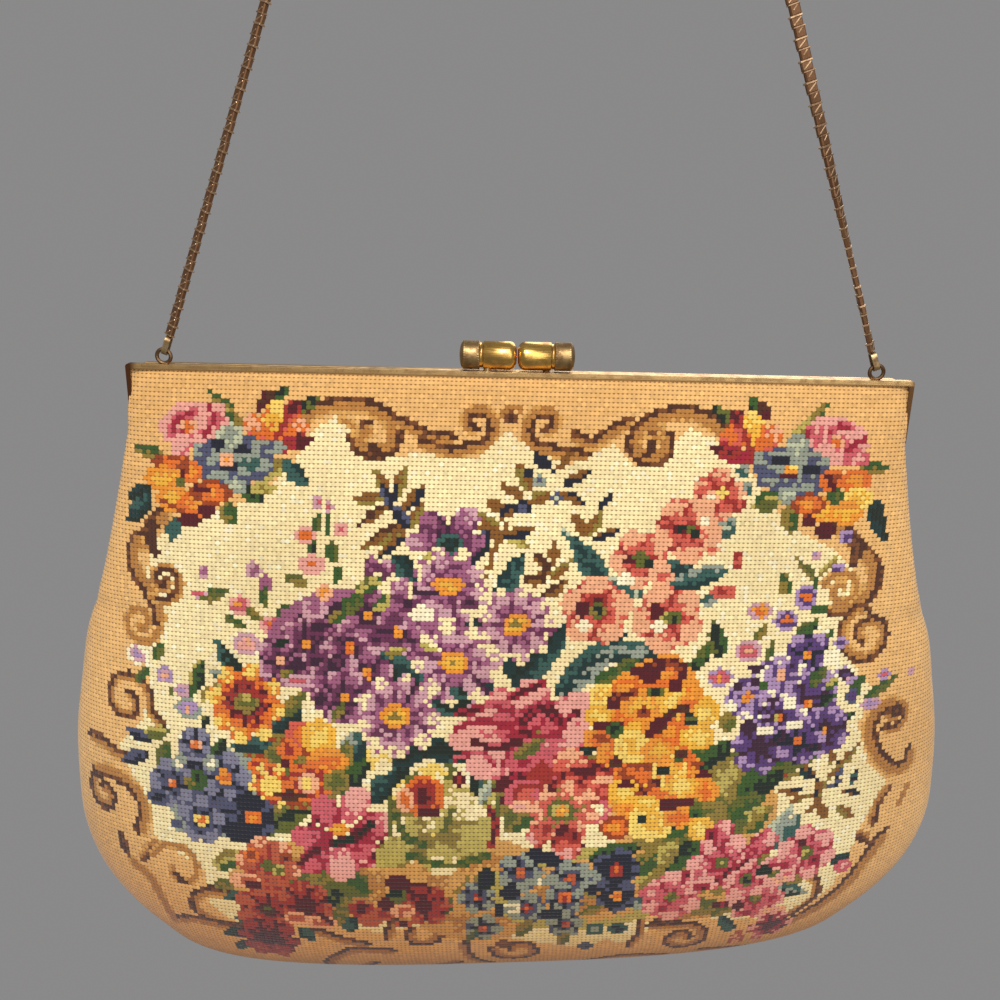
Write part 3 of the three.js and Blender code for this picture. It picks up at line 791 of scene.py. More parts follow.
RIGHT_BOUQUET = [
    (leaf, "green olive", (77, 19), (84, 20), 3), (leaf, "olive green", (63, 12), (68.6, 5), 3),
    (leaf, "lime olive", (61, 14), (66, 8), 3.6),
    (leaf, "olive lime green", (60.6, 26), (53, 28.6), 4.6),
    (leaf, "teal mist", (52.6, 21), (49, 20), 2.4), (leaf, "teal mist", (53, 23), (51, 26), 2.4),
    (leaf, "green olive", (62, 28), (62.4, 35), 4.2),
    (leaf, "spruce pine", (79, 27.4), (84.6, 29.4), 3.4),
    (leaf, "pine spruce", (80.4, 28), (85.4, 37), 4.2), (dab, "moss", (56.6, 28.4), 2.6, 1.4),
    # rose
    (dab, "rose pink pink", (71.4, 13.4), 7.2, 5.2, 12),
    (dab, "rose pink", (66.6, 12.6), 2.8, 4.4), (dab, "pink rose", (76, 17.4), 3, 2),
    (line, "ruby rose", 2, (69.6, 11.6), (72, 10), (74, 10.6)),
    (line, "ruby", 1.4, (73.4, 15.4), (77.4, 13)),
    (line, "ruby rose", 1.3, (64.4, 11), (65, 15), (68, 17.4)),
    (dab, "orange peach", (71.2, 13.8), 1.7),
    # tulip
    (petal, "coral orange peach", (52, 17), (58.4, 11), 5),
    (petal, "maroon brown", (56, 9), (53, 4.8), 3),
    (petal, "orange gold lemon", (52, 17), (52, 7), 6),
    (leaf, "pine green", (52.6, 7), (51, 3.8), 2.6),
    (petal, "brick maroon", (50, 12), (47, 7), 4), (petal, "coral orange", (50, 16), (46, 11), 5),
    (petal, "ruby brick maroon", (54, 18.4), (43.4, 15.4), 3.8),
    (line, "brick", 1.2, (52.6, 17), (50, 11)), (leaf, "pine moss", (47, 9.6), (43, 6), 2.6),
    # slate-blue flower
    (dab, "mist mist slate", (61.6, 20), 8.4, 5.4), (dab, "sky mist", (62.4, 14.8), 2.8, 2.6),
    (dab, "slate mist", (66.4, 18), 3.4, 1.8), (dab, "mist slate", (64.6, 24), 4, 2.6),
    (dab, "slate mist", (56.6, 17.4), 4, 1.9), (dab, "mist slate", (57, 22.4), 3.4, 2),
    (dab, "sky mist", (61, 25.6), 2.2, 2), (dab, "navy", (59, 18.2), 2, 1.3),
    (dab, "navy", (66, 20), 2, 0.9), (dab, "maroon", (61, 21.6), 1.6, 0.8),
    (dab, "lemon amber", (61.6, 19.8), 1.8, 1.3),
    # golden flower
    (dab, "rust orange", (71, 22.4), 3.4, 2.4), (dab, "amber orange", (76.4, 22.4), 4, 2.4),
    (dab, "gold lemon", (77, 26.8), 4.4, 2.6), (dab, "gold amber", (70, 29.4), 3.6, 3.2),
    (dab, "gold amber", (75, 30), 4, 2.8), (dab, "amber orange rust", (66, 28), 4, 2.6),
    (dab, "moss green", (72, 26), 1.6), (line, "maroon", 1.4, (70, 21), (71.4, 24)),
    (dab, "maroon", (66.4, 31.6), 1.8, 1.2), (dab, "maroon", (70.4, 34), 2.6, 1.8),
]
paint(LEFT_BOUQUET)
paint(RIGHT_BOUQUET)

# %% [markdown]
# Light sprigs and sprays fill the cream ground between the bouquets and the flowers in the
# middle. They are drawn before the flowers, which lie over their stems.

# %% Sprigs and sprays
SPRIGS = [
    # bronze sprigs with navy hearts
    (leaf, "olive bronze", (-28, 28), (-31.4, 21.4), 3),
    (leaf, "bronze olive", (-26.4, 28), (-24.6, 21), 3),
    (leaf, "bronze navy", (-24.6, 31), (-19.6, 25), 3),
    (leaf, "olive bronze", (-29, 28), (-36.4, 29), 2.4),
    (leaf, "bronze brown", (-28, 29.6), (-34.6, 34.6), 2.6),
    (leaf, "bronze olive", (-23, 35), (-20.4, 29), 3),
    (leaf, "olive bronze brown", (-24, 34.4), (-34, 39.6), 3.4),
    (leaf, "navy bronze", (-23.4, 36), (-30.6, 42), 2.2),
    (leaf, "navy slate", (-29.6, 25.4), (-27, 31), 2.2),
    (leaf, "slate navy", (-27, 30), (-23, 35.4), 3),
    (line, "navy", 1.2, (-26.6, 26), (-27.4, 30)), (leaf, "navy", (3.6, 17.6), (8.6, 21.6), 2.6),
    (leaf, "olive bronze", (3.6, 26), (0.6, 20), 3.2),
    (leaf, "bronze navy", (10.4, 24.4), (17.6, 21), 2.4),
    (leaf, "bronze", (9.6, 21), (12.6, 17), 2), (dab, "slate mist", (5.6, 23.8), 1.8, 1.5),
    (dab, "navy", (3, 22), 1.3, 1), (leaf, "bronze", (2, 27.6), (-3.4, 24.4), 2.4),
    (dab, "slate navy", (2, 29.6), 2, 1.4), (leaf, "olive bronze", (3.4, 28.4), (8.6, 26), 2.8),
    (dab, "sky slate", (9.6, 27.4), 1.2), (leaf, "navy bronze", (10, 26), (16, 28.6), 2.6),
    (leaf, "bronze", (0, 32), (-6.6, 27.6), 3), (leaf, "navy bronze", (-3, 33), (-0.4, 29), 2.2),
    (leaf, "bronze olive", (-2.6, 35), (-9, 31), 3), (leaf, "bronze", (-1, 37), (-8, 34), 2.4),
    (leaf, "bronze navy navy", (-2.4, 36.6), (5, 34.6), 3),
    (leaf, "olive lime", (-1, 37), (4.4, 38.6), 2),
    (leaf, "slate navy", (-7.4, 38.6), (-4.6, 34.6), 2.4),
    (line, "bronze", 1.3, (-1, 33), (-3.4, 38), (-5.4, 45)),
    (leaf, "navy pine", (-5, 38), (-11, 43.6), 3), (leaf, "navy", (18.6, 30.6), (22, 26), 1.8),
    (leaf, "bronze", (17, 36), (13, 30.6), 2.6),
    (leaf, "bronze olive", (17.4, 35.6), (20, 29.6), 2.4),
    (leaf, "bronze navy", (17.4, 37), (25, 33.6), 1.9),
    (leaf, "bronze", (9.4, 42.6), (9.6, 37.4), 2.2),
    (line, "brown bronze", 2.2, (6, 40.6), (8, 43), (6.4, 46)),
    (leaf, "bronze brown", (8, 46.4), (2.4, 46), 2.6),
    (leaf, "olive bronze", (9, 46), (14, 41), 2.2),
    (leaf, "brown bronze", (6, 51.6), (13.4, 45.8), 2.6),
    # pink spray on the left
    (dab, "rose mauve", (-44, 29.6), 1, 1.6), (dab, "rose mauve", (-41.4, 30.6), 1, 1.5),
    (dab, "rose pink", (-38.4, 35.6), 1.4, 1.9),
    (leaf, "green moss", (-44, 36), (-43.8, 31.6), 2),
    (leaf, "green", (-41.6, 36.6), (-41.4, 32), 1.6), (dab, "orange pink", (-46.6, 37), 2.6, 1.9),
    (leaf, "green pine", (-45, 42), (-44.6, 37.6), 1.8),
    (leaf, "green moss", (-39.8, 43.6), (-41, 38), 3),
    (dab, "orange pink pink", (-45, 43.8), 3.4, 2.4),
    (leaf, "green", (-40, 47.6), (-38, 43.6), 2.4),
    (leaf, "moss olive", (-51, 46.8), (-45.4, 48), 2.8),
    (dab, "orchid mauve", (-58.2, 45.4), 1.9, 2), (dab, "orchid", (-55.6, 48.2), 1.6, 1.9),
    (leaf, "green moss", (-56, 54), (-55.6, 49), 2),
    (dab, "orchid mauve", (-69.8, 46.4), 1.3, 1.7),
    (leaf, "green moss olive", (-71, 52.6), (-64, 50.6), 3.4),
    (dab, "rose mauve", (-71.4, 51.6), 2, 1), (dab, "amber rose pink", (-61.6, 53.6), 2.8, 2.2),
    (leaf, "olive moss", (-60, 54), (-56.4, 57), 2.4),
    (leaf, "green moss", (-65, 56.6), (-60, 59), 2),
    (dab, "orange rose pink", (-54.2, 57.8), 2.8, 2.2),
    (leaf, "green", (-52.6, 56), (-50, 52.4), 1.8),
    (leaf, "moss green", (-49.6, 58.4), (-46.4, 54.4), 2.2),
    (dab, "peach pink mauve", (-59.8, 62.4), 3, 2.6),
    (leaf, "green moss", (-57, 66.6), (-55, 62), 1.9),
    (leaf, "pine green", (-52, 61.6), (-49.6, 58.4), 2),
    # pale sprays down the left side
    (leaf, "green moss", (-83, 68), (-80, 63.4), 2.6),
    (dab, "lilac mauve ivory", (-87, 67.4), 3, 2.4),
    (leaf, "moss green", (-87.6, 73.6), (-84, 70), 2.4),
    (dab, "peach mauve lilac", (-80, 71.4), 2.4, 2),
    (leaf, "moss olive", (-79.4, 75.6), (-76.6, 74), 1.6),
    (leaf, "lime green pine", (-73.6, 75.6), (-70.2, 66.4), 4),
    (dab, "lilac mauve", (-75.6, 74.6), 2, 1.8),
    (dab, "peach lilac mist", (-74.4, 78.6), 3.2, 2.4),
    (leaf, "moss pine", (-71.4, 82.6), (-68.6, 79.4), 2),
    (leaf, "olive lime", (-71, 76.6), (-66.4, 72), 2.6),
    (leaf, "lime moss", (-86.4, 86.4), (-78.6, 84), 3.4),
    # lilac sprays on the right
    (dab, "purple lilac", (75.4, 35.6), 1.8, 1.4), (dab, "lilac mauve", (69, 40), 1.6, 1.3),
    (dab, "purple lilac", (74.4, 43), 1.7, 1.4),
    (leaf, "olive moss", (70, 46.6), (64.4, 40.4), 2.2),
    (leaf, "lime olive", (70, 45), (74.6, 39.6), 1.6),
    (leaf, "olive green", (63, 49.6), (61.8, 44), 3.2),
    (leaf, "green pine", (69.4, 49), (70, 44), 1.6),
    (dab, "orange purple lilac", (67.6, 50), 2.8, 3),
    (leaf, "green", (68.6, 52.6), (74, 53), 2.4), (dab, "orange amber mauve", (57, 53), 2.6, 2.2),
    (dab, "orange purple lilac", (63.4, 55.4), 3, 2.6),
    (leaf, "moss green pine", (66, 60), (71.4, 55.4), 3.6),
    (leaf, "moss olive", (56.6, 60), (59, 56), 2.2),
    (dab, "peach rose mauve", (55.2, 62.4), 3, 2.6),
    (leaf, "moss green", (59.4, 66), (61, 60), 2.2),
    (leaf, "moss pine green", (48.6, 64.4), (46.4, 54.6), 4),
    (leaf, "moss green", (44, 64.6), (46, 60), 3), (leaf, "green pine", (40, 67), (46, 64.4), 3),
    (dab, "amber rose lilac", (48.6, 68.6), 3, 2.2),
    (leaf, "moss green", (71, 64), (74.6, 58), 2.6), (dab, "purple lilac", (77, 61.4), 1.8, 1.3),
    (leaf, "green", (80, 76), (83.6, 69.6), 3),
    (leaf, "green moss", (83.6, 76.4), (93.4, 71.2), 2.6),
    (leaf, "green pine", (77.6, 81), (82.4, 79), 2.4),
    (dab, "purple slate", (80.6, 75), 1.7, 1.9), (dab, "lilac mauve", (86, 77.6), 2.8, 1.8),
    (dab, "rose lilac", (89, 70.6), 2, 1.2), (dab, "rose mauve", (97, 71), 1.6, 0.8),
    (dab, "mauve lilac", (80, 70.4), 1.8, 1.3), (dab, "purple lilac ivory", (78, 68.6), 2.8, 2),
    # right-hand lower sprig
    (leaf, "bronze navy", (70, 98), (63, 97), 2),
    (leaf, "spruce navy", (71.4, 95), (68.4, 90), 2.4),
    (leaf, "olive bronze", (72, 99), (66.6, 101), 1.8),
    (leaf, "olive bronze", (77, 92), (76, 86.6), 2),
    (leaf, "navy slate", (78.6, 96), (78.4, 91), 2.2),
    (leaf, "bronze olive", (79, 93), (83.6, 87.4), 2.2),
    (leaf, "teal navy", (82, 98.6), (83.6, 94), 2.2),
    (leaf, "navy bronze", (80, 99), (85.6, 101), 1.6),
    (line, "olive bronze", 1.2, (73.6, 101.6), (76, 96), (79, 92)),
    (line, "navy bronze", 1.3, (70.6, 92), (74, 97), (73, 100)),
    (leaf, "bronze", (74.4, 102), (77, 106.6), 2.6),
    (leaf, "bronze olive", (79, 103), (84, 107.4), 2.6),
    (leaf, "olive", (64, 94), (69.6, 93), 2.2), (dab, "bronze rust", (63.4, 93.6), 2.2, 1.6),
    (leaf, "slate navy", (76, 98), (80, 96.6), 1.8), (leaf, "bronze", (71, 104), (75, 101), 1.6),
]
paint(SPRIGS)

# %% [markdown]
# Large dark leaves back the flowers in the middle of the bag.

# %% Leaves
LEAVES = [
    (dab, "olive moss tan honey honey", (-42, 120), 24, 12),
    (dab, "olive honey tan honey", (-6, 122), 18, 15),
    (dab, "olive tan honey lime", (18, 122), 22, 12),
    (dab, "moss olive moss olive honey", (44, 102), 20, 16),
    (dab, "moss olive rust olive", (-50, 92), 13, 11),
    (dab, "olive honey moss olive", (52, 122), 20, 9),
    (dab, "navy slate navy mist", (-68, 98), 14, 11),
    (dab, "violet orchid plum orchid", (-36, 62), 19, 13),
    (dab, "violet orchid violet mauve", (-16, 62), 15, 16),
    (dab, "purple plum lilac", (66, 76), 11, 13),
    (dab, "brick rose maroon olive", (8, 92), 14, 12),
    (dab, "amber gold orange amber", (34, 84), 13, 22),
    (leaf, "teal spruce pine", (-19.6, 47.6), (-27.4, 40.6), 5),
    (leaf, "spruce teal", (-3, 52), (2.6, 40), 5),
    (leaf, "spruce pine", (-5.4, 59), (-11.4, 51.6), 4),
    (leaf, "teal spruce teal", (22, 47.6), (13, 36), 5.6),
    (line, "sky teal", 1.2, (11, 34), (14, 37.6)),
    (leaf, "pine spruce teal", (1.6, 71), (14, 55.6), 7),
    (leaf, "teal spruce mist", (11, 73), (27, 57.6), 7),
    (leaf, "teal mist spruce", (20, 63), (37, 62), 5),
    (leaf, "pine spruce teal", (-19, 70.4), (-30.6, 63.6), 6),
    (leaf, "teal spruce", (-9, 77.6), (-17.4, 74.4), 4),
    (leaf, "pine", (-15.6, 75.4), (-7, 73.6), 5),
    (leaf, "pine spruce", (-3.6, 73), (-5.6, 64), 3), (leaf, "spruce", (0, 69), (1.4, 62), 3),
    (leaf, "sky teal", (22, 45), (30.6, 50), 4),
    (leaf, "teal pine", (-61, 71.6), (-67.6, 61.6), 4),
    (leaf, "teal mist", (-63, 71), (-69.6, 69.6), 2),
    (leaf, "teal spruce pine", (-54, 82.6), (-46.6, 77), 5),
    (leaf, "olive moss", (-52, 79), (-46, 73), 4),
    (leaf, "teal spruce", (-64, 87), (-53, 85.6), 4),
    (leaf, "green pine", (-69.6, 90), (-64.4, 84.6), 3),
    (leaf, "olive moss", (-56, 88.6), (-50, 86), 4),
    (leaf, "moss green", (-83, 92.6), (-78.6, 87), 4),
    (leaf, "navy slate", (-84.4, 87.4), (-91, 85.6), 3.6),
    (leaf, "navy slate", (-85, 90.6), (-93, 93.6), 3.4),
    (leaf, "mist teal", (-38, 88), (-33, 82), 5),
    (leaf, "spruce pine", (-34, 92), (-30, 82.6), 5),
    (leaf, "moss olive", (-38, 92), (-36, 84), 4), (leaf, "green pine", (-38, 98), (-32, 88), 5),
    (leaf, "lime olive", (-37, 76), (-32, 80), 3),
    (leaf, "teal spruce pine", (-30.6, 99), (-22, 86), 7),
    (line, "pine spruce", 5, (-24, 88), (-17, 85.6), (-9, 87.6)),
    (leaf, "teal spruce", (-12, 88), (-20, 92), 3),
    (leaf, "teal spruce", (33, 45), (41.4, 41), 5),
    (leaf, "mist teal spruce", (36, 47), (49.6, 43), 5),
    (leaf, "teal mist", (43, 50.6), (48, 49.6), 3), (leaf, "mist teal", (46, 36), (50, 30.6), 4),
    (leaf, "sky teal", (42, 37), (49.6, 33), 3), (leaf, "spruce pine", (16, 87), (24, 81.6), 4),
    (leaf, "moss green", (1, 87), (10, 82), 5),
    (leaf, "moss olive green", (0, 106), (8, 97.6), 6),
    (leaf, "green pine", (45, 92), (52, 84), 6), (leaf, "moss green", (50, 92), (62, 86), 7),
    (leaf, "olive lime", (46, 98), (53, 88), 6),
    (leaf, "lime olive green", (52, 99), (56, 88), 7),
    (leaf, "green pine", (54, 99), (66, 91), 7), (leaf, "moss green", (52, 103), (61, 98), 6),
    (leaf, "lime olive green", (54, 108), (63, 101), 6),
    (leaf, "green moss", (50, 110), (57, 103), 5), (leaf, "green moss", (62, 91), (73, 89), 5),
    (leaf, "olive moss", (50, 82), (53, 75), 4), (leaf, "pine green", (36, 107), (47, 103), 5),
    (leaf, "pine green", (38, 117), (47, 108), 6), (leaf, "lime olive", (34, 117), (41, 109), 6),
    (leaf, "olive green", (30, 118), (36, 111), 6), (leaf, "green pine", (20, 114), (32, 110), 6),
    (leaf, "sky mist", (61, 112), (68, 101), 4), (leaf, "mist teal", (63, 113), (70, 104), 5),
    (leaf, "pine moss", (-57, 107), (-45, 101), 5),
    (leaf, "olive moss", (-58, 104), (-50, 100), 4),
    (leaf, "olive lime green", (-70.4, 117), (-60, 112), 5),
    (leaf, "moss olive", (-70, 122), (-64, 121), 4),
    (leaf, "teal spruce", (-68, 126), (-60, 123), 3), (leaf, "teal", (-66, 132), (-60, 130), 3),
    (leaf, "spruce pine", (-70, 139), (-64, 135), 4),
    (leaf, "pine teal", (-68, 146), (-64, 140), 4),
    (leaf, "teal spruce", (-50, 133), (-46, 138), 4),
    (leaf, "moss pine", (-44, 126), (-36, 118), 6),
    (leaf, "green moss", (-40, 118), (-31, 122), 6),
    (leaf, "moss olive", (-40, 132), (-37, 122), 4),
    (leaf, "teal spruce", (-38, 134), (-35, 128), 4),
    (leaf, "pine moss", (-29, 128), (-22, 118), 5),
    (leaf, "moss green", (-15, 128), (-12, 123), 3),
    (leaf, "teal mist pine", (65, 124), (74, 128), 4),
    (leaf, "spruce pine", (79, 119.6), (84, 117.6), 3),
    (leaf, "green teal", (61, 133), (68, 131), 3), (leaf, "teal spruce", (56, 139), (52, 131), 4),
    (leaf, "moss olive", (50, 132), (55, 128), 3), (leaf, "mist teal", (34, 128), (30, 124), 4),
]
paint(LEAVES)

# %% [markdown]
# The flowers in the middle: mauve daisies with golden hearts, violets, coral anemones, a large
# pink rose, a golden snapdragon, and smaller flowers that fill the lower part.

# %% Flowers
DAISY = "violet orchid mauve cream"
VIOLETS = "plum violet orchid mauve"
CORAL = "brick coral peach peach"
SLATES = "navy slate dusk dusk"
GREYS = "navy slate mist mist"
PINKS = "ruby rose pink pink"
DAISIES = [
    (petal, "plum violet orchid", (-14, 39), (-20, 31.6), 6),
    (petal, "violet orchid mauve", (-14, 38), (-8.6, 30), 6),
    (petal, "violet orchid mauve", (-15, 38), (-24, 38), 5),
    (petal, "violet orchid", (-13, 39), (-6, 37.4), 5),
    (dab, "spruce pine teal", (-14, 38.4), 2.8, 2.6),
    (leaf, "lime moss", (-20, 44), (-17, 40), 3),
    (flower, DAISY, "gold", (-14, 48), 9.6, 9, 12, 1), (dab, "gold amber", (-14, 47.8), 3.6, 2.1),
    (line, "plum", 1.2, (-22, 49), (-17, 49.6)), (dab, "violet orchid", (-12, 43.6), 2.6, 1.6),
    (flower, DAISY, "gold", (1.6, 56.6), 9.6, 9, 0, 1),
    (dab, "olive gold amber", (1.6, 56.4), 3.2, 2.4, -20),
    (line, "violet", 1.2, (7, 58), (11, 57)), (dab, "plum violet", (-9, 51.6), 2.4, 1.2),
    (flower, DAISY, "gold", (-12, 65.6), 10, 9, 16, 1),
    (dab, "olive gold amber", (-12.2, 65.4), 3.4, 2.6),
    (line, "violet plum", 1.3, (-8, 69), (-3, 73)), (line, "violet", 1.2, (-19, 63), (-15, 65)),
    (flower, DAISY, "gold", (-25, 78), 10.4, 9, 4, 1),
    (dab, "olive gold amber", (-25.4, 78), 3.6, 2.8), (line, "violet", 1.3, (-30, 83), (-26, 81)),
    (line, "plum violet", 1.3, (-21, 71), (-23, 75)),
    (leaf, "cream lime", (-20, 61), (-15, 63), 3), (dab, "ivory", (-19.6, 54.4), 3, 2),
    (leaf, "pine teal", (-13, 71), (-9, 74), 3),
]
VIOLET_MASS = [
    (flower, VIOLETS, "amber orange", (-46, 62), 7, 5, 10, 1.5),
    (flower, VIOLETS, "amber orange", (-36, 62.6), 6.6, 5, 40, 1.3),
    (flower, VIOLETS, "amber", (-32, 55), 6.4, 5, 20, 1.2),
    (flower, VIOLETS, "amber", (-25, 58.6), 6, 5, 0, 1.3),
    (flower, VIOLETS, "orange amber", (-32, 68.6), 6.4, 5, 60, 1.4),
    (flower, VIOLETS, "amber", (-39.6, 69.6), 6.6, 5, 30, 1.2),
    (flower, "violet orchid mauve", "plum", (-23, 52), 6, 5, 30, 1),
    (flower, VIOLETS, "peach", (-52, 66), 6, 5, 0, 1),
    (flower, VIOLETS, "amber", (-37, 74), 7, 6, 0, 1.2),
    (petal, "violet orchid", (-32, 46), (-31.6, 41.4), 3.4),
    (petal, "violet orchid mauve", (-28.6, 47), (-27.6, 42), 3.2),
    (leaf, "moss lime green", (-35, 50), (-29, 46), 4),
    (leaf, "green moss", (-38, 54), (-33, 50.6), 4),
    (leaf, "green lime", (-31, 54), (-26.6, 50), 3), (dab, "amber peach", (-42, 50), 2.4, 1.8),
    (dab, "orchid mauve", (-44.4, 54), 3, 2.4), (dab, "plum violet", (-43, 58), 2.6, 1.6),
    (dab, "plum violet", (-30, 60.4), 2.4, 1.3), (dab, "plum", (-48, 66.6), 2, 1.5),
    (dab, "plum violet", (-43.4, 65.4), 3, 1.4, -30), (dab, "violet plum", (-39, 66), 2, 1.6),
    (dab, "violet", (-26, 56), 2.2, 1.2), (dab, "plum violet", (-34, 73), 2.6, 1.4, -20),
    (dab, "plum violet", (-42.6, 74.6), 2, 2.2), (leaf, "olive green", (-41, 57), (-37, 54), 3),
    (leaf, "lime olive", (-28, 64), (-23, 62), 2.6), (leaf, "pine", (-53, 63), (-50, 60.6), 1.8),
    (leaf, "olive moss", (-52, 70), (-49, 68), 2.4), (dab, "rose mauve", (-48, 70.6), 3, 1.8),
    (leaf, "moss olive", (-40, 80), (-37, 75), 2.4),
]
CORAL_FLOWERS = [
    (flower, CORAL, "pine moss", (19.6, 53), 8.4, 5, 200, 1.8),
    (dab, "maroon", (16.4, 52.6), 1.4, 2), (dab, "maroon brick", (20, 50), 2.6, 1),
    (dab, "ivory", (17, 56.4), 1.6, 1.4), (dab, "pine olive", (20, 53), 2, 1.4),
    (flower, CORAL, "moss", (29, 41), 7, 5, 100, 1.6), (dab, "maroon", (26.6, 41.4), 1.4, 1),
    (dab, "pine", (31, 42), 1.4, 1), (dab, "ivory", (26, 45.6), 2, 1.4),
    (flower, CORAL, "moss lime", (36, 54.6), 8.4, 5, 30, 1.6),
    (dab, "maroon", (33.4, 53), 1.3, 2.4), (dab, "pine moss", (37.4, 54.6), 1.9, 1.7),
    (dab, "ivory", (34, 56.6), 1.6, 1.2),
    (flower, "brick coral peach", "ivory", (45.6, 26), 6, 5, 60, 1.5),
    (dab, "ivory peach", (44, 27), 2.2, 1.7), (dab, "lemon", (46.4, 25.4), 1.2),
    (dab, "coral brick", (50.4, 28.4), 1.6, 1.4),
    (flower, CORAL, "moss", (39.4, 34), 8, 5, 15, 1.5),
    (dab, "pine maroon", (37.4, 34), 1.8, 1.4), (dab, "pine", (41, 34.8), 1.3, 1.3),
    (dab, "ivory peach", (43.6, 32), 2.4, 1.8), (dab, "coral brick", (51, 41), 1.4, 2.2),
    (dab, "brick coral", (48.4, 48.4), 3, 1.6), (dab, "coral peach", (34, 45), 2.6, 2),
    (dab, "coral peach", (45, 38.6), 1.8, 1.6), (dab, "coral brick", (34, 32.6), 2, 1.3),
]
BIG_ROSE = [
    (petal, "rose pink pink", (4, 80), (-13, 84), 9),
    (petal, "rose pink pink", (2, 82), (-7, 76), 9),
    (petal, "ruby rose pink", (4, 84), (-3, 71.6), 8),
    (petal, "ruby rose pink pink", (5, 84), (6, 68.6), 9),
    (petal, "rose pink pink", (8, 84), (20, 73), 10), (petal, "rose pink", (6, 86), (19, 81), 7),
    (petal, "rose pink pink", (6, 86), (-9, 90), 9),
    (petal, "ruby rose pink", (5, 80), (1, 94), 6),
    (line, "maroon ruby", 1.9, (1, 73.6), (5, 71.4), (8.6, 70)),
    (line, "ruby rose", 1.6, (-4, 75), (2, 77), (9, 73.6)),
    (line, "maroon ruby", 2, (-11, 77.6), (-6, 76)),
    (line, "ruby", 1.4, (-12, 81), (-6, 79), (0, 80)),
    (line, "ruby maroon", 1.7, (4, 79), (8, 76), (12, 79), (16, 77)),
    (line, "maroon ruby", 1.8, (10, 75), (13, 80)),
    (line, "maroon", 1.5, (-7, 84), (-3, 85.4), (3, 84)),
    (line, "ruby", 1.5, (1, 80.6), (5, 82.6), (12, 82)), (dab, "maroon ruby", (5, 82), 2.6, 1.3),
    (line, "rose ruby", 1.4, (-12, 88), (-6, 86.6), (-2, 89)),
    (dab, "ruby maroon", (2.4, 94), 2.4, 3.4), (dab, "ruby rose", (4, 89), 3, 2),
    (leaf, "olive moss", (2, 88), (9, 83), 3),
]
SNAPDRAGON = [
    (dab, "gold lemon", (24, 73), 5.4, 3.4), (dab, "lemon gold", (21, 77.6), 3.4, 2.6),
    (dab, "amber orange", (27, 71), 3.4, 2.2), (dab, "orange rust maroon", (36, 67), 5.4, 3.2),
    (dab, "amber orange", (36, 68), 3, 2), (dab, "gold amber", (31, 75), 5, 4),
    (dab, "lemon gold", (38, 74), 3.6, 3.6), (dab, "orange amber", (43, 75), 4, 3),
    (dab, "lemon gold", (46, 77), 3.4, 3.6), (dab, "amber orange", (37.6, 81.6), 3.4, 3.4),
    (dab, "lemon gold", (44, 83), 4.4, 3), (dab, "rust orange amber", (22, 83), 4.4, 2.6),
    (dab, "gold lemon", (29, 85), 4, 4), (dab, "orange rust", (31, 91.6), 4.6, 3),
    (dab, "lemon gold", (27.6, 96), 4, 3.4), (dab, "amber orange rust", (26, 105), 4, 3),
    (dab, "gold lemon", (34, 104), 5.4, 4.6), (dab, "gold amber lemon", (38, 91), 4.4, 4),
    (dab, "lemon gold", (41, 95), 3.6, 2.6), (dab, "orange amber", (47, 96.4), 3, 3),
    (dab, "orange amber", (41, 103), 4.4, 2.6), (dab, "lemon gold", (46, 106), 3.4, 3.4),
    (dab, "lemon gold", (33, 99), 3.4, 2), (dab, "gold amber", (35, 86), 4, 2.6),
    (dab, "maroon", (24.6, 74.4), 1.6, 2), (line, "maroon rust", 1.9, (25, 73.4), (29, 72)),
    (dab, "maroon rust", (31.4, 76.6), 1.7, 1.2),
    (line, "maroon", 2.2, (28, 66), (33, 69), (35, 65.6)),
    (dab, "maroon", (38.6, 70.6), 1.6, 1.6), (dab, "pine moss", (34, 72), 1.7, 1.3),
    (line, "maroon brown", 2, (35, 81), (38, 77), (41, 76)),
    (line, "maroon", 2.4, (33, 82), (35, 79)), (dab, "moss pine", (42.4, 78.6), 1.8, 1.3),
    (line, "maroon", 1.6, (21, 80), (26, 79.4)), (dab, "maroon brown", (25.6, 88.6), 1.7, 1.2),
    (dab, "pine green", (25, 81), 2.2, 1.6), (dab, "pine", (36.6, 91), 1.4, 1.4),
    (dab, "green", (40, 87.6), 1.5, 1), (dab, "maroon", (28, 94.4), 2, 1.1),
    (line, "rust maroon", 1.6, (31, 96.6), (35, 94)), (line, "maroon", 2.6, (37, 99.4), (43, 99)),
    (dab, "pine", (32, 103), 1.5, 1.2), (dab, "pine green", (44.6, 102), 1.7, 1.3),
    (dab, "maroon brown", (40.6, 87), 2, 1), (leaf, "green moss", (20, 70), (27, 66), 3.4),
    (leaf, "moss green", (24, 67), (30, 64), 3), (dab, "maroon", (46, 92.4), 1.6, 1),
    (dab, "rust", (44.6, 89.6), 1.8, 1), (leaf, "moss green", (43, 86), (47, 88), 2.4),
]
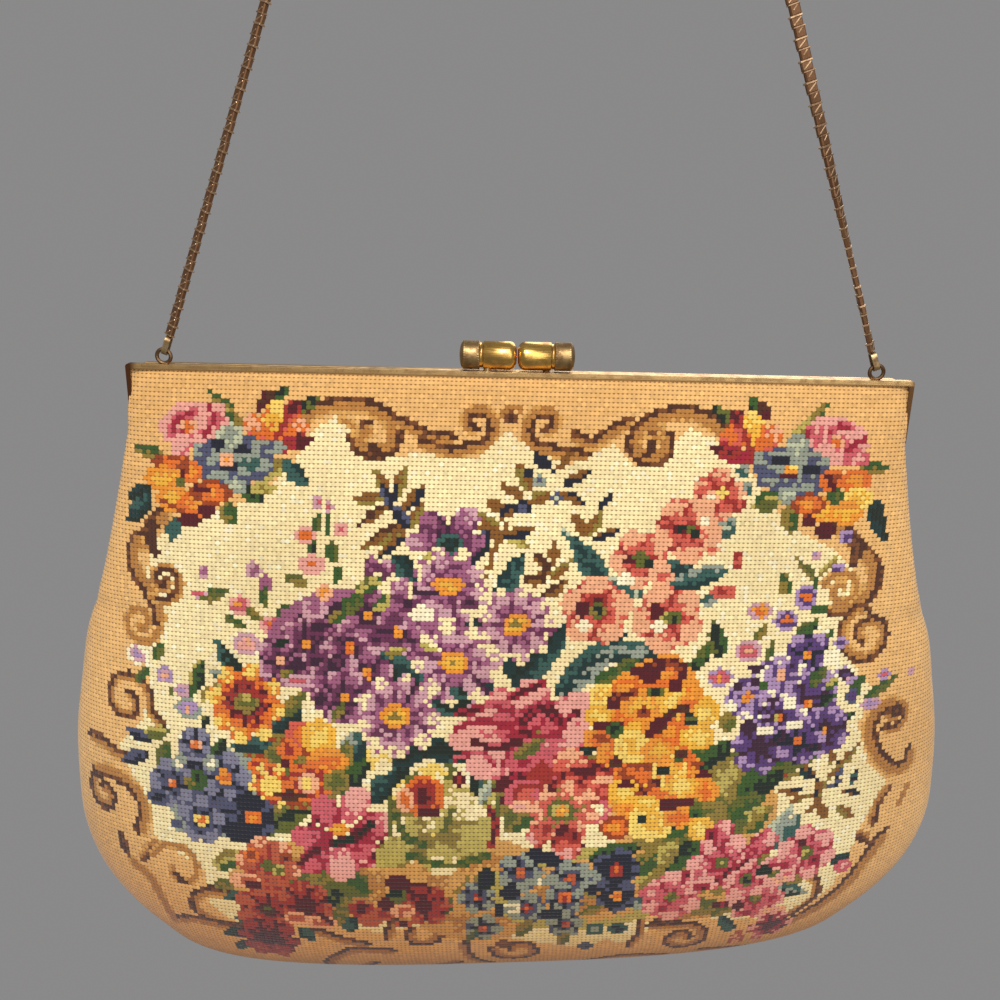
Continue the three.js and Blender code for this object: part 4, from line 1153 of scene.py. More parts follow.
LILAC_MASS = [
    (flower, "navy purple lilac", "orange amber", (69, 64), 6, 5, 20, 1.2),
    (flower, "purple lilac ivory", "orange peach", (63, 68.6), 6, 5, 50, 1.3),
    (flower, "plum purple lilac", "orange amber", (69.6, 76), 7, 5, 0, 1.2),
    (flower, "purple lilac ivory", "orange amber", (55.4, 73.6), 5.6, 5, 10, 1.4),
    (flower, "plum purple lilac ivory", "orange lime", (63.4, 79), 6.4, 5, 60, 1.2),
    (flower, "plum purple lilac", "amber", (74.4, 83), 6.6, 5, 30, 1.2),
    (flower, "navy purple lilac", "orange", (68.4, 85), 6.4, 5, 0, 1.2),
    (flower, "plum purple lilac", "plum", (59, 86), 7, 6, 15, 1.4),
    (dab, "plum", (57, 66.6), 2.4, 1.1), (dab, "plum", (52.8, 71), 1.4, 1.2),
    (dab, "plum purple", (59, 77), 2.6, 1.1), (dab, "plum", (61.6, 74.8), 1.2, 1),
    (dab, "plum", (57, 70), 0.9, 1.6), (dab, "plum purple", (65.6, 66.6), 1.3, 1.8),
    (dab, "plum", (56, 81), 1.6, 1.6), (dab, "plum navy", (64, 84), 1.6, 2.6),
    (dab, "navy plum", (72, 87), 2.4, 1.5), (dab, "ivory", (65.4, 75.6), 1.8, 1.6),
    (dab, "ivory", (67, 81), 1.8, 1.3), (dab, "ivory", (60, 82), 1.7, 1.4),
    (dab, "ivory", (75, 65), 2.4, 2.4), (leaf, "green moss", (70, 72), (73.6, 67), 3.4),
    (leaf, "pine green", (73, 77), (76.6, 73.6), 3.2),
    (leaf, "lime green", (74, 73), (77, 70), 2.4), (leaf, "green", (58, 72), (60.4, 70), 2),
    (dab, "lilac purple", (76, 78), 2.4, 1.8), (dab, "purple plum", (78.6, 69.4), 2, 1.2),
]
LEFT_FLOWERS = [
    (flower, "brick orange amber lemon", "moss", (-60.2, 76.4), 9.6, 8, 10, 1),
    (flower, "maroon brick orange", "moss", (-60.2, 76.4), 6.8, 8, 30, 1),
    (dab, "moss olive", (-60.2, 76.4), 3, 2.2), (dab, "lime", (-60, 75), 1.6, 0.9),
    (dab, "orange coral", (-47.6, 83), 3, 3.4), (dab, "lemon gold", (-43, 83.6), 4, 4.4),
    (dab, "orange amber", (-41, 89), 4.6, 3), (dab, "brick orange", (-50, 87), 2.6, 3),
    (petal, "lemon cream", (-32, 84), (-27, 92), 5), (dab, "brick orange", (-57, 91), 3.6, 2),
    (flower, "brick orange lemon", "lemon", (-54.4, 95.4), 5.6, 6, 0, 2.4),
    (dab, "maroon", (-51, 90), 1.6, 1.3),
    (flower, "orange brick orange", "lemon peach", (-45.6, 94.4), 5.6, 7, 20, 2.4),
    (dab, "maroon brown", (-50, 97.6), 3.6, 1.2), (dab, "moss olive", (-39, 94), 3.4, 2.6),
    (flower, SLATES, "orange peach", (-72.8, 87), 4.4, 5, 20, 1.5),
    (flower, SLATES, "orange peach", (-79, 97), 6.2, 5, 40, 1.5),
    (flower, SLATES, "orange amber", (-65.6, 94.2), 6.2, 5, 0, 2),
    (flower, SLATES, "orange lemon", (-72, 105.2), 6.2, 5, 60, 1.7),
    (flower, "navy navy slate", "amber orange", (-59, 103.6), 5.6, 5, 30, 1.9),
    (dab, "navy", (-62, 107.6), 4.6, 2.6), (dab, "pine green", (-72.4, 95.6), 2.2, 2.6),
    (dab, "moss olive", (-74.6, 96.4), 1.2, 1.6), (dab, "navy", (-60, 99.4), 4, 1.4),
    (dab, "navy slate", (-83, 101), 2.6, 2), (dab, "ivory mist", (-69, 91), 2.2, 1.6),
    (dab, "ivory mist", (-77.4, 92), 2, 1.6), (dab, "slate mist", (-78, 107), 2.6, 1.8),
    # pink flower with five petals
    (petal, "ruby rose rose", (-38, 106), (-44, 98), 7),
    (petal, "rose pink pink", (-37, 104), (-33, 95), 7),
    (petal, "ruby rose pink", (-36, 106), (-25, 103), 7),
    (petal, "ruby rose pink", (-37, 108), (-28, 114), 7),
    (petal, "rose pink pink", (-39, 108), (-38, 119), 8),
    (petal, "ruby rose rose", (-40, 107), (-50, 108), 6),
    (petal, "ruby rose", (-41, 108), (-47, 117), 6),
    (dab, "gold amber", (-38.6, 105.4), 2.2, 1.5),
    (line, "pine maroon", 2.4, (-40, 109), (-36, 108), (-31, 104)),
    (line, "maroon ruby", 1.5, (-31, 113), (-28.6, 108.6)),
    (line, "maroon", 1.5, (-49, 115), (-44, 111)),
    (line, "maroon ruby", 1.4, (-43, 103), (-46, 105)),
]
OLIVE_ROSE = [
    (dab, "olive lime olive olive moss", (-14, 102), 13.4, 12.6),
    (dab, "lime cream lime", (-13, 103), 11, 10.4),
    (petal, "lime cream lime", (-14, 104), (-2.6, 96), 9),
    (dab, "cream lemon lime", (-13, 108), 7, 3.6),
    (petal, "olive lime lime", (-14, 104), (-4, 110), 9),
    (petal, "olive lime cream", (-15, 106), (-14, 117), 10),
    (petal, "olive lime lime", (-17, 106), (-30, 114), 8),
    (petal, "olive lime cream", (-18, 103), (-26, 106), 7),
    (petal, "cream ivory", (-12, 95), (-6, 89), 6),
    (petal, "cream lemon", (-16, 95), (-17, 89), 7),
    (petal, "lemon cream", (-20, 97), (-26, 96), 6),
    (dab, "maroon brick orange", (-18.6, 97), 4.8, 5), (dab, "orange peach", (-23, 98), 2, 2.6),
    (dab, "maroon", (-17.4, 101), 2.4, 1.5), (dab, "brick maroon", (-10.4, 93), 1.8, 1.6),
    (line, "moss green", 1.8, (-25, 102), (-23, 107), (-19, 109)),
    (line, "moss", 1.3, (-14, 106), (-12, 100)),
    (line, "moss green", 1.8, (-22, 112), (-12, 114.6), (-4, 112)),
    (line, "maroon brick", 1.7, (-3, 109), (-2, 104), (-3.6, 100)),
    (line, "moss", 1.4, (-5, 99), (-3, 94)), (leaf, "pine teal", (-6, 97), (-7, 91), 3),
    (leaf, "sky mist", (-6, 99), (-3, 93), 3),
]
CORAL_RINGS = [
    (dab, "coral rose", (5, 97), 5.4, 4), (dab, "pink peach", (4, 99.6), 2.6, 1.8),
    (petal, "brick coral peach", (15, 95), (15, 85), 9),
    (petal, "brick coral peach", (16, 98), (25, 93), 7),
    (flower, "olive coral coral peach peach", "gold", (13.4, 101), 8.6, 8, 10, 1, 1.0),
    (dab, "gold lime moss", (13.2, 100.6), 3.4, 2.6),
    (dab, "gold amber", (13.2, 100.6), 1.7, 1.2),
    (petal, "maroon brick coral pink", (14, 104), (15, 113), 8),
    (petal, "brick coral pink", (11, 104), (6, 109), 5), (dab, "maroon brick", (16, 107), 1.6, 2),
    (line, "brick maroon", 1.5, (11, 95), (14, 91.6), (20, 91)),
    (line, "maroon brick", 1.6, (20, 89), (24, 91)),
    (line, "brick", 1.3, (2, 98), (4, 94.4), (9, 95)),
    (line, "rose peach", 1.4, (22, 97), (24, 101), (21, 104)),
    (dab, "coral brick", (23, 96), 2, 2),
]
LOWER_FLOWERS = [
    # terracotta and maroon
    (flower, "brick clay clay peach", "moss", (-56, 115.6), 8, 6, 10, 1.6),
    (dab, "rust orange", (-60, 113), 2, 1.6), (dab, "moss lime", (-53.4, 116.6), 1.6, 1.4),
    (dab, "maroon rust", (-51.6, 113), 1.6, 1.2), (dab, "clay peach", (-62, 120), 4, 2.4),
    (flower, "maroon brick clay clay", "moss brown", (-57, 128), 8.4, 7, 0, 1.6),
    (flower, "maroon brick clay", "maroon", (-47.6, 125.6), 7, 6, 20, 2),
    (dab, "maroon", (-60, 121), 2.2, 1.2),
    (flower, "maroon maroon brick brick", "maroon plum", (-58, 138), 8.4, 8, 8, 2.4),
    (petal, "brick clay", (-57, 140), (-55, 148), 4),
    (petal, "brick clay", (-60, 140), (-62, 147), 4), (dab, "clay peach", (-44, 131), 4, 2),
    (dab, "clay peach", (-50, 130), 3.4, 2), (line, "maroon", 1.4, (-44, 129), (-41, 131)),
    (flower, "maroon brick clay", "maroon", (-18.4, 125.4), 6, 6, 0, 1.8),
    (dab, "maroon", (-25, 119), 3, 2), (dab, "maroon brick", (-34, 126.6), 3, 2.2),
    (dab, "brick clay", (-28.6, 128), 3, 2), (dab, "maroon", (-28, 125), 1.8, 1.6),
    (dab, "brick maroon", (-20, 121), 3, 1.8), (dab, "clay peach", (-24, 127), 2.6, 2.4),
    (dab, "maroon clay", (-24, 131), 2.6, 1.2), (dab, "clay", (-32, 130), 3, 1.8),
    # grey-blue
    (flower, GREYS, "orange clay", (4, 116.4), 5.6, 5, 10, 1.5),
    (flower, GREYS, "orange clay", (15.8, 118.4), 5.6, 5, 30, 1.4),
    (flower, "navy navy slate", "orange brick", (26.4, 116.2), 6, 5, 0, 1.8),
    (flower, GREYS, "brick orange", (14.6, 123.6), 5, 5, 50, 1.6),
    (flower, "navy navy slate", "orange amber", (26.8, 123.6), 5, 5, 20, 1.5),
    (flower, GREYS, "orange brick", (5.6, 126.6), 4.8, 5, 0, 1.2),
    (flower, GREYS, "orange brick", (-6.4, 123.4), 4.6, 5, 40, 1.1),
    (flower, GREYS, "orange clay", (-5, 132.6), 4.6, 5, 10, 1.2),
    (flower, GREYS, "brick clay", (14.8, 132), 4.6, 5, 60, 1.2),
    (dab, "navy", (9.6, 112.6), 4.4, 1.8, 20), (dab, "navy pine", (-4, 118), 2.2, 3),
    (dab, "navy", (1.4, 122), 2.6, 2), (dab, "navy", (11.6, 128.4), 2.6, 2),
    (dab, "mist ivory", (1.4, 126.6), 3, 1.8), (dab, "navy", (-1, 127), 1, 2.4),
    (dab, "ivory mist", (8.4, 119), 2.2, 1.5), (leaf, "moss olive", (18, 129), (24, 126), 3),
    (leaf, "olive moss", (3, 136), (7, 130), 4), (leaf, "olive moss", (13, 140), (16, 134.6), 3),
    (dab, "slate mist", (21, 118), 2, 1.6), (dab, "navy", (21, 121.6), 2, 1.2),
    (dab, "navy teal", (27.4, 134), 2.2, 2.2), (dab, "mist teal", (22, 134), 2, 2.4),
    (dab, "bronze umber", (0, 139), 2.6, 1.6), (leaf, "moss teal", (-9, 138), (-6, 133), 2.4),
    (dab, "navy slate", (20, 141), 2.4, 1.8),
    # pink
    (flower, PINKS, "lime moss", (51.6, 115.6), 8.4, 6, 0, 1.8),
    (flower, PINKS, "lime moss", (72.4, 115), 8, 6, 20, 1.8),
    (flower, PINKS, "olive moss", (60.6, 127), 7.6, 6, 10, 1.6),
    (flower, PINKS, "moss olive", (40, 124.6), 7.6, 6, 30, 1.7),
    (flower, PINKS, "pine moss", (57.6, 121), 6, 5, 50, 1.8),
    (petal, "ruby rose pink", (57, 115), (64, 108), 6),
    (petal, "ruby rose pink", (50, 112), (52, 104), 5),
    (dab, "maroon ruby", (48.6, 107.6), 1.8, 1.6), (dab, "pink rose pink", (66, 117), 5, 2.4),
    (line, "ruby maroon", 1.4, (58, 114), (54, 118), (50, 120)),
    (line, "ruby", 1.3, (62, 117.6), (68, 118)), (dab, "maroon ruby", (74.6, 117.6), 1.6, 1.6),
    (dab, "maroon", (71, 112), 1.6, 1), (dab, "maroon ruby", (47, 122), 2.4, 1),
    (dab, "ruby maroon", (52, 128), 2.6, 1), (dab, "ruby rose", (64.6, 128), 3, 1.7),
    (dab, "pine", (62, 118.6), 2.4, 1.4), (dab, "maroon", (56.6, 129), 1.4, 1.8),
    (dab, "ruby rose", (59, 132), 3.4, 1.5), (dab, "pink peach", (66, 133), 3.4, 2.4),
    (flower, "maroon ruby pink", "maroon", (66, 139), 6.4, 6, 0, 1.6),
    (petal, "clay peach", (58, 138), (58, 148), 4), (petal, "rose pink", (63, 140), (64, 149), 3),
    (dab, "pink rose", (82.6, 121), 2.2, 1.8), (dab, "pink rose", (35, 123), 2.6, 2),
    (dab, "ruby rose", (38, 128), 2.6, 1.2), (dab, "maroon ruby", (44, 118), 2.4, 1.2),
    (dab, "rose pink", (46, 118.6), 2, 2), (dab, "peach pink", (66, 122), 4, 1.6),
]
for motifs in (LEFT_FLOWERS, VIOLET_MASS, DAISIES, LILAC_MASS, CORAL_FLOWERS, OLIVE_ROSE, BIG_ROSE,
               CORAL_RINGS, SNAPDRAGON, LOWER_FLOWERS):
    paint(motifs)
chart *= 1 + 0.025 * rng.standard_normal(ROW.shape)[:, :, None]
chart = np.clip(chart, 0, 1)
print("chart painted")

# %% [markdown]
# The worked canvas is one face to a stitch, and every face is poked into a low bump. The chart
# is laid on as a colour attribute, and the same attribute works from the front and the back.
# The wool's material adds what a face doesn't have: the small holes of the canvas where four
# stitches meet, painted dark as shade, the groove between two rows and the twist of the yarn.
# It also adds soil, and painted shade that darkens the wool towards the bottom of the bag.

# %% Wool material
def stitch_group():
    """Holes of the canvas and height of the yarn, from a map that counts stitches."""
    tree, given, result = new_group(
        "stitch_relief", [("Count", "NodeSocketVector")],
        [("Hole", "NodeSocketFloat"), ("Height", "NodeSocketFloat")])
    shifted = add_node(tree, "ShaderNodeVectorMath", {0: given.outputs["Count"], 1: (0.5, 0.5, 0)},
                       operation="ADD").outputs[0]
    cell = add_node(tree, "ShaderNodeVectorMath", {0: shifted}, operation="FRACTION").outputs[0]
    corner = add_node(tree, "ShaderNodeVectorMath", {0: cell, 1: (0.5, 0.5, 0)},
                      operation="SUBTRACT").outputs[0]
    spread = add_node(tree, "ShaderNodeVectorMath", {0: corner, 1: (3.2, 5.2, 0)},
                      operation="MULTIPLY").outputs[0]
    reach = add_node(tree, "ShaderNodeVectorMath", {0: spread}, operation="LENGTH")
    hole = fade(tree, reach.outputs["Value"], 0.35, 1.2)
    apart = add_node(tree, "ShaderNodeSeparateXYZ", {0: corner})
    row_groove = fade(tree, times(tree, apart.outputs["Y"], 0.0, "ABSOLUTE"), 0.0, 0.2)
    column_groove = fade(tree, times(tree, apart.outputs["X"], 0.0, "ABSOLUTE"), 0.0, 0.16)
    twist = add_node(tree, "ShaderNodeVectorMath", {0: given.outputs["Count"], 1: (2.2, 9, 1)},
                     operation="MULTIPLY").outputs[0]
    yarn = add_node(tree, "ShaderNodeTexNoise", {"Vector": twist, "Scale": 1.0, "Detail": 2.0})
    grooves = times(tree, times(tree, row_groove, 0.4), times(tree, column_groove, 0.2), "ADD")
    low = times(tree, grooves, times(tree, hole, 0.8), "ADD")
    height = times(tree, times(tree, yarn.outputs["Fac"], 0.35), low, "SUBTRACT")
    tree.links.new(hole, result.inputs["Hole"])
    tree.links.new(height, result.inputs["Height"])
    return tree


def wool_material():
    material = bpy.data.materials.new("needlepoint")
    material.use_nodes = True
    tree = material.node_tree
    shader = tree.nodes["Principled BSDF"]
    count = add_node(tree, "ShaderNodeUVMap", uv_map="stitches").outputs["UV"]
    wool = add_node(tree, "ShaderNodeAttribute", attribute_name="wool").outputs["Color"]
    relief = add_node(tree, "ShaderNodeGroup", node_tree=stitch_group())
    tree.links.new(count, relief.inputs["Count"])
    place = add_node(tree, "ShaderNodeTexCoord").outputs["Object"]
    soil = add_node(tree, "ShaderNodeTexNoise", {"Vector": place, "Scale": 22.0, "Detail": 3.0})
    soil_and_shade = mixed(tree, fade(tree, soil.outputs["Fac"], 0.3, 0.75, 0.0, 0.35), wool,
                   (0.62, 0.5, 0.36, 1), "MULTIPLY")
    # Painted shade: the wool darkens to a warm brown towards the bottom, where the bag turns under.
    height = add_node(tree, "ShaderNodeSeparateXYZ", {0: place}).outputs["Z"]
    hem = FRAME_TOP - BODY_HEIGHT
    wear_and_shade = fade(tree, height, hem + 8 * MM, hem + 62 * MM, 0.85, 0.0)
    soil_and_shade = mixed(tree, wear_and_shade, soil_and_shade, (0.76, 0.48, 0.18, 1), "MULTIPLY")
    # Painted shade in the canvas holes: the wool darkens where four stitches meet.
    dark = mixed(tree, 1.0, soil_and_shade, (0.34, 0.2, 0.1, 1), "MULTIPLY")
    colour = mixed(tree, times(tree, relief.outputs["Hole"], 0.8), soil_and_shade, dark)
    tree.links.new(colour, shader.inputs["Base Color"])
    bump = add_node(tree, "ShaderNodeBump", {
        "Height": relief.outputs["Height"], "Strength": 0.7, "Distance": 0.3 * MM})
    tree.links.new(bump.outputs["Normal"], shader.inputs["Normal"])
    shader.inputs["Roughness"].default_value = 0.92
    shader.inputs["Sheen Weight"].default_value = 0.25
    shader.inputs["Sheen Roughness"].default_value = 0.5
    return material


needlepoint = wool_material()

# %% [markdown]
# Each panel is the form cut into stitches. Its faces look up their wools in the chart, and
# the back panel reads the chart from the other side, so that it has the same picture.

# %% Panels
STITCH_RISE = 0.16 * MM


def lay_on_chart(mesh, side):
    """Give every face its wool, found by counting stitches in the face's own map."""
    count = np.empty(len(mesh.loops) * 2)
    mesh.uv_layers["stitches"].data.foreach_get("uv", count)
    centre = count.reshape(-1, 3, 2).mean(axis=1)
    column = np.floor(centre[:, 0]).astype(int)
    row = CHART_ROWS - 1 - np.floor(centre[:, 1]).astype(int)
    if side > 0:
        column = 2 * CHART_HALF - 1 - column
    shades = chart[np.clip(row, 0, CHART_ROWS - 1), np.clip(column, 0, 2 * CHART_HALF - 1)]
    linear = np.where(shades > 0.04045, ((shades + 0.055) / 1.055) ** 2.4, shades / 12.92)
    colours = np.ones((len(shades), 3, 4))
    colours[:, :, :3] = linear[:, None, :]
    layer = mesh.color_attributes.new("wool", "FLOAT_COLOR", "CORNER")
    layer.data.foreach_set("color", colours.ravel())


def make_panel(name, side, node):
    surface = panel_surface(side, STITCH)
    bm = grid_on_surface(surface)
    if side > 0:
        bmesh.ops.reverse_faces(bm, faces=bm.faces)
    bmesh.ops.poke(bm, faces=bm.faces, offset=STITCH_RISE, center_mode="MEAN",
                   use_relative_offset=False)
    area = sum(face.calc_area() for face in bm.faces)
    piece = new_piece(name, bm, needlepoint, stands_for=[node])
    lay_on_chart(piece.data, side)
    print(f"{name}: {area:.4f} square metres")
    return piece


make_panel("front_panel_stitched", -1, "front_panel")
make_panel("back_panel_stitched", 1, "back_panel")

# %% [markdown]
# The frame halves keep the shape of their solids. A copy of each solid is merged, its flat
# faces are joined, and its long edges are rounded, because bent sheet brass has no sharp edge
# and the rounded edges are what catch the light.

# %% Frame halves
RING_SPREAD = 91.6 * MM
RING_RADIUS = 1.78 * MM
RING_WIRE = 0.52 * MM
RING_CENTRE = FRAME_TOP - GAP + RING_RADIUS + RING_WIRE
ROUND_ANGLE = math.radians(40)


def copy_of_node(name):
    bm = bmesh.new()
    bm.from_mesh(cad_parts[name].data)
    bmesh.ops.remove_doubles(bm, verts=bm.verts, dist=0.001 * MM)
    bmesh.ops.dissolve_limit(bm, angle_limit=math.radians(1), verts=bm.verts, edges=bm.edges)
    return bm


def round_edges(bm, edges, radius, segments=2):
    bmesh.ops.bevel(bm, geom=edges, offset=radius, offset_type="OFFSET", segments=segments,
                    profile=0.5, affect="EDGES", clamp_overlap=True, material=-1)


def make_frame_half(name, node):
    bm = copy_of_node(node)
    soldered = FRAME_TOP + 0.05 * MM
    sharp = [
        edge for edge in bm.edges
        if len(edge.link_faces) == 2 and edge.calc_face_angle(0) > ROUND_ANGLE
        and max(v.co.z for v in edge.verts) < soldered
    ]
    round_edges(bm, sharp, 0.13 * MM)
    for face in bm.faces:
        middle = face.calc_center_median()
        face.material_index = int(middle.z > soldered and abs(middle.x) > RING_SPREAD / 2)
    piece = new_piece(name, bm, frame_brass, smooth=False, stands_for=[node])
    piece.data.materials.append(ring_brass)
    return piece


make_frame_half("frame_front_brass", "frame_front")
make_frame_half("frame_back_brass", "frame_back")

# %% [markdown]
# The barrels of the clasp are turned parts, so each is a profile spun about its own axis: a
# domed end, a knurled band, a groove, a polished body and a rounded nose.

# %% Clasp barrels
BARREL_SIDES = 144
KNURLS = 36
KNURL_DEPTH = 0.14 * MM
BARREL_RADIUS = 3.65 * MM
BAND_LENGTH = 4.4 * MM
DOME_LENGTH = 0.85 * MM
GROOVE_LENGTH = 0.9 * MM
GROOVE_DEPTH = 0.45 * MM
NOSE_LENGTH = 1.9 * MM
NOSE_RADIUS = 1.6 * MM


def barrel_profile(length):
    """Points from the domed end to the nose, as (along, radius)."""
    points = []
    dome = 0.9 * BARREL_RADIUS
    for angle in np.linspace(0, math.pi / 2, 9):
        points.append((DOME_LENGTH * (1 - math.cos(angle)), dome * math.sin(angle)))
    edge = 0.12 * MM
    band_end = DOME_LENGTH + BAND_LENGTH
    body_start = band_end + GROOVE_LENGTH
    low = BARREL_RADIUS - GROOVE_DEPTH
    band = np.linspace(DOME_LENGTH + edge, band_end - edge, 13)
    points += [(along, BARREL_RADIUS) for along in band]
    points += [(band_end, low), (body_start - 0.6 * edge, low)]
    points += [(body_start, BARREL_RADIUS - edge), (body_start + edge, BARREL_RADIUS)]
    for angle in np.linspace(0, math.pi / 2, 9):
        radius = NOSE_RADIUS + (BARREL_RADIUS - NOSE_RADIUS) * math.cos(angle)
        points.append((length - NOSE_LENGTH * (1 - math.sin(angle)), radius))
    points.append((length, 0))
    return points


def make_barrel(word, hand):
    low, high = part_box(f"clasp_barrel_{word}")
    centre = (low + high) / 2
    bm = bmesh.new()
    start = high.x if hand > 0 else low.x
    verts = [
        bm.verts.new((start - hand * along, centre.y, centre.z + radius))
        for along, radius in barrel_profile(high.x - low.x)
    ]
    edges = [bm.edges.new(pair) for pair in zip(verts, verts[1:])]
    bmesh.ops.spin(bm, geom=verts + edges, cent=centre, axis=(1, 0, 0), steps=BARREL_SIDES,
                   angle=2 * math.pi, use_merge=True)
    bmesh.ops.remove_doubles(bm, verts=bm.verts, dist=0.001 * MM)
    bmesh.ops.recalc_face_normals(bm, faces=bm.faces)
    band_end = DOME_LENGTH + BAND_LENGTH
    for vertex in bm.verts:
        along = abs(vertex.co.x - start)
        if DOME_LENGTH + 0.3 * MM < along < band_end - 0.3 * MM:
            angle = math.atan2(vertex.co.z - centre.z, vertex.co.y - centre.y)
            turn = KNURLS * angle / 2
            slant = KNURLS * along / (2 * BARREL_RADIUS)
            cut = max(abs(math.sin(turn + slant)), abs(math.sin(turn - slant)))
            keep = 1 - KNURL_DEPTH * (1 - cut) * 2 / BARREL_RADIUS
            vertex.co.y = centre.y + (vertex.co.y - centre.y) * keep
            vertex.co.z = centre.z + (vertex.co.z - centre.z) * keep
    node = f"clasp_barrel_{word}"
    for face in bm.faces:
        face.material_index = int(abs(face.calc_center_median().x - start) < band_end)
    piece = new_piece(f"{node}_turned", bm, clasp_brass, stands_for=[node])
    piece.data.materials.append(band_brass)
    return piece


for word, hand in (("left", -1), ("right", 1)):
    make_barrel(word, hand)

# %% [markdown]
# The chain is made of flat links, each a folded strip of brass that tucks into the next. One
# link is modelled and copied along the route of the chain, turning with its twist.

# %% Chain
CHAIN_PITCH = 2.5 * MM
LINK_WIDTH = 3.1 * MM
LINK_THICKNESS = 1.6 * MM
HOOK_RADIUS = 6 * MM
CHAIN_RADIUS = 1.2 * MM
BEND_RADIUS = HOOK_RADIUS + CHAIN_RADIUS
TWIST = {  # share of the strand from its ring up to the bend, degrees away from broadside
    "left": [(0.00, 40), (0.15, 48), (0.40, 45), (0.75, 60), (1.00, 90)],
    "right": [(0.00, 35), (0.07, 88), (0.16, 55), (0.30, 8), (0.70, 0), (1.00, 90)],
}


def strand_angle():
    """The strands' angle to the vertical, found so that they pass through the rings."""
    low, high = 0.01, math.pi / 2
    for _ in range(60):
        angle = (low + high) / 2
        peak = BEND_RADIUS / math.sin(angle) + CHAIN_RADIUS - BEND_RADIUS
        if peak - RING_SPREAD / math.tan(angle) < RING_CENTRE:
            low = angle
        else:
            high = angle
    return angle


STRAND_ANGLE = strand_angle()
print(f"strands lean {math.degrees(STRAND_ANGLE):.2f} degrees from the vertical")


def chain_point(along):
    """Place and direction on the chain's route, measured from the middle of the bend."""
    hand = 1 if along >= 0 else -1
    away = abs(along)
    bend = BEND_RADIUS * (math.pi / 2 - STRAND_ANGLE)
    turn = min(away, bend) / BEND_RADIUS
    run = max(away - bend, 0)
    across = BEND_RADIUS * math.sin(turn) + run * math.sin(STRAND_ANGLE)
    down = BEND_RADIUS * (1 - math.cos(turn)) + run * math.cos(STRAND_ANGLE)
    heading = Vector((hand * math.cos(turn), 0, -math.sin(turn)))
    return Vector((hand * across, 0, CHAIN_RADIUS - down)), heading


def link_template(bars):
    """One link: its plate and the ridges folded over it, each a bar with rounded edges."""
    bm = bmesh.new()
    fold = bm.faces.layers.float.new("fold")
    for width, thickness, length, rise, lean, bright in bars:
        made = bmesh.ops.create_cube(bm, size=1)
        shape = Matrix.Diagonal((width, thickness, length, 1))
        turn = Matrix.Rotation(math.radians(lean), 4, "Y")
        place = Matrix.Translation((0, 0, rise))
        bmesh.ops.transform(bm, matrix=place @ turn @ shape, verts=made["verts"])
        edges = list({edge for vertex in made["verts"] for edge in vertex.link_edges})
        faces = {face for vertex in made["verts"] for face in vertex.link_faces}
        for face in faces:
            face[fold] = bright
        round_edges(bm, edges, 0.22 * min(thickness, length), segments=1)
    mesh = bpy.data.meshes.new("link_template")
    bm.to_mesh(mesh)
    bm.free()
    return mesh


PLATE = (0.90 * LINK_WIDTH, 0.72 * LINK_THICKNESS, 1.05 * CHAIN_PITCH, 0, 0, 0.1)
COLLAR = (LINK_WIDTH, LINK_THICKNESS, 0.5 * MM, 1.0 * MM, 0, 1.0)
FOLD = (0.86 * LINK_WIDTH, 0.92 * LINK_THICKNESS, 0.4 * MM, -0.15 * MM, 34, 0.9)
WING = (0.52 * LINK_WIDTH, 0.9 * LINK_THICKNESS, 0.38 * MM, 0.3 * MM, 40, 0.65)


def make_chain():
    folded = link_template([PLATE, COLLAR, FOLD])
    plain = link_template([
        (0.84 * LINK_WIDTH, 0.8 * LINK_THICKNESS, 1.1 * CHAIN_PITCH, 0, 0, 0.05),
        (0.96 * LINK_WIDTH, 0.9 * LINK_THICKNESS, 0.36 * MM, 1.1 * MM, 0, 0.6), WING])
    strand = RING_SPREAD / math.sin(STRAND_ANGLE) - BEND_RADIUS / math.tan(STRAND_ANGLE)
    half = strand + BEND_RADIUS * (math.pi / 2 - STRAND_ANGLE)
    end = half - RING_RADIUS - 3.9 * MM
    count = 2 * round(end / CHAIN_PITCH)
    bm = bmesh.new()
    for index, along in enumerate((np.arange(count) + 0.5) * (2 * end / count) - end):
        place, heading = chain_point(along)
        word = "left" if along < 0 else "right"
        up = heading if along < 0 else -heading
        share, degrees = np.array(TWIST[word]).T
        angle = math.radians(np.interp(1 - abs(along) / half, share, degrees))
        forward = Vector((0, -1, 0))
        level = forward.cross(up)
        broad = level * math.cos(angle) + forward * math.sin(angle)
        turn = Matrix((broad, up.cross(broad), up)).transposed()
        sway = broad * (0.12 * MM * (1 if index % 2 else -1))
        start = len(bm.verts)
        bm.from_mesh(folded if index % 2 else plain)
        bm.verts.ensure_lookup_table()
        bmesh.ops.transform(bm, matrix=Matrix.Translation(place + sway) @ turn.to_4x4(),
                            verts=bm.verts[start:])
    bpy.data.meshes.remove(folded)
    bpy.data.meshes.remove(plain)
    return new_piece("chain_links", bm, chain_brass, smooth=False,
                     stands_for=["chain"])


make_chain()

# %% [markdown]
# The rivets and the hooks of the chain are shown as the solids they are, in aged brass.

# %% Rivets and hooks take their finish
for node in ("hinge_rivet_left", "hinge_rivet_right"):
    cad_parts[node].data.materials.clear()
    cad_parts[node].data.materials.append(frame_brass)
for node in ("chain_hook_left", "chain_hook_right"):
    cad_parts[node].data.materials.clear()
    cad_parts[node].data.materials.append(hook_brass)

# %% [markdown]
# The bag hangs flat against a pale wall, lit softly from the left and above. The wall and the
# floor are one sheet that curves from one to the other. Its material is seen by the camera
# alone, and from the front alone, so that light reaches the bag from behind and the bag can
# be looked at from there too.

# %% Wall, floor and light
WALL_GAP = 3 * MM
WALL_SIZE = 3.0
FLOOR_DROP = 0.3


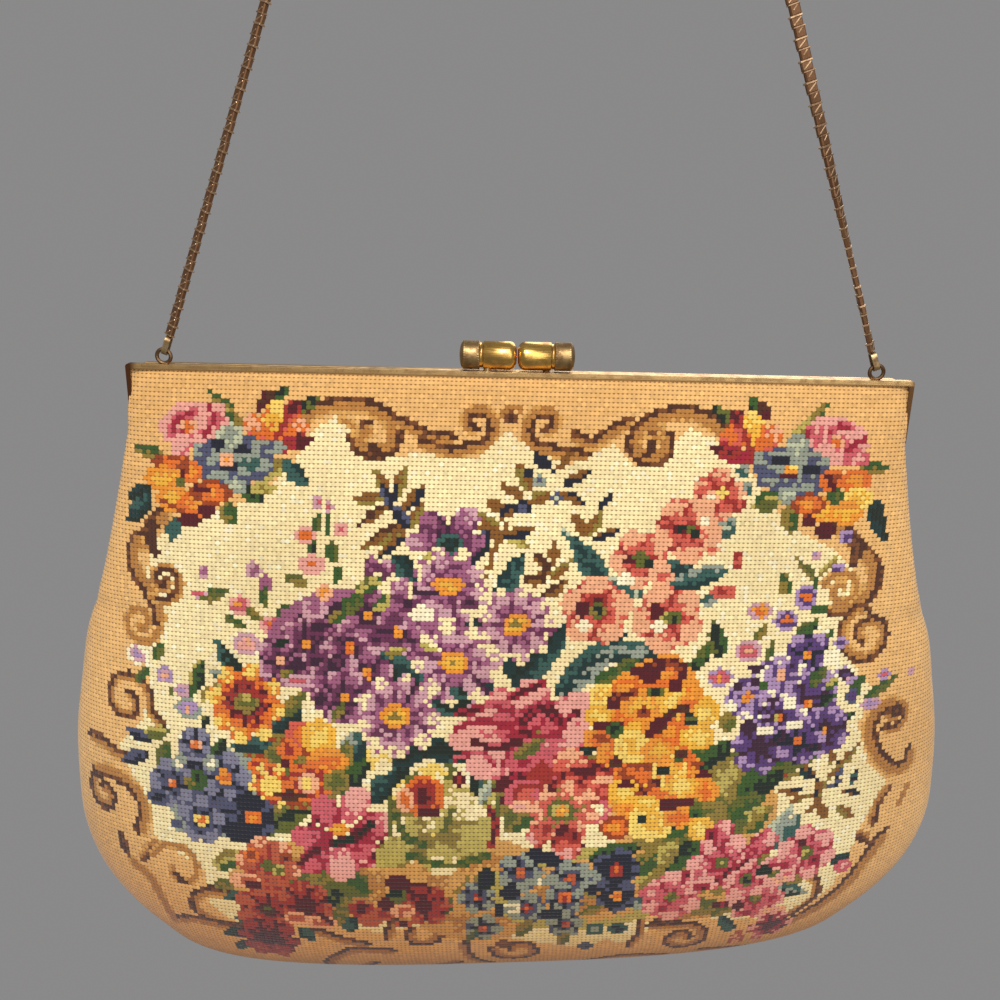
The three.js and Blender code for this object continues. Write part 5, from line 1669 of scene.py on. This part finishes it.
def wall_material():
    material = plain_material("pale_wall", (0.86, 0.83, 0.82), 0.9)
    nodes, links = material.node_tree.nodes, material.node_tree.links
    shader = nodes["Principled BSDF"]
    clear = nodes.new("ShaderNodeBsdfTransparent")
    side = nodes.new("ShaderNodeNewGeometry")
    path = nodes.new("ShaderNodeLightPath")
    seen = times(material.node_tree, 1.0, path.outputs["Is Camera Ray"], "SUBTRACT")
    unseen = times(material.node_tree, side.outputs["Backfacing"], seen, "MAXIMUM")
    mix = nodes.new("ShaderNodeMixShader")
    links.new(unseen, mix.inputs["Fac"])
    links.new(shader.outputs["BSDF"], mix.inputs[1])
    links.new(clear.outputs["BSDF"], mix.inputs[2])
    links.new(mix.outputs["Shader"], nodes["Material Output"].inputs["Surface"])
    return material


def add_wall():
    low, high = solid_box
    y = high.y + WALL_GAP
    floor = low.z - FLOOR_DROP
    curve = 0.1
    bm = bmesh.new()
    path = [(y, 1.2), (y, floor + curve)]
    for angle in np.linspace(0, math.pi / 2, 9)[1:]:
        path.append((y - curve * (1 - math.cos(angle)), floor + curve * (1 - math.sin(angle))))
    path.append((y - WALL_SIZE, floor))
    verts = [bm.verts.new((-WALL_SIZE / 2, *point)) for point in path]
    edges = [bm.edges.new(pair) for pair in zip(verts, verts[1:])]
    made = bmesh.ops.extrude_edge_only(bm, edges=edges)
    moved = [item for item in made["geom"] if isinstance(item, bmesh.types.BMVert)]
    bmesh.ops.translate(bm, verts=moved, vec=(WALL_SIZE, 0, 0))
    bm.normal_update()
    bm.faces.ensure_lookup_table()
    if bm.faces[0].normal.y > 0:
        bmesh.ops.reverse_faces(bm, faces=bm.faces)
    mesh = bpy.data.meshes.new("wall_and_floor")
    bm.to_mesh(mesh)
    bm.free()
    wall = bpy.data.objects.new("wall_and_floor", mesh)
    wall.data.materials.append(wall_material())
    bpy.context.collection.objects.link(wall)


def add_light(name, place, size, power, colour, target):
    light = bpy.data.lights.new(name, "AREA")
    light.shape = "DISK"
    light.size = size
    light.energy = power
    light.color = colour
    lamp = bpy.data.objects.new(name, light)
    lamp.location = place
    lamp.rotation_mode = "QUATERNION"
    lamp.rotation_quaternion = (Vector(target) - Vector(place)).to_track_quat("-Z", "Y")
    bpy.context.collection.objects.link(lamp)


add_wall()
bag_middle = (0, 0, FRAME_TOP - 0.08)
add_light("key", (-0.1, -0.72, 0.5), 0.14, 7.6, (1.0, 0.96, 0.93), bag_middle)
add_light("fill", (0.35, -1.2, 0.15), 1.2, 7.0, (1.0, 0.97, 0.97), bag_middle)
add_light("back", (0.3, 0.9, 0.3), 0.8, 4, (1.0, 0.98, 0.96), bag_middle)
world = bpy.data.worlds.new("studio")
world.use_nodes = True
world.node_tree.nodes["Background"].inputs["Color"].default_value = (0.95, 0.93, 0.93, 1)
world.node_tree.nodes["Background"].inputs["Strength"].default_value = 0.27
bpy.context.scene.world = world
bpy.context.scene.view_settings.view_transform = "Standard"
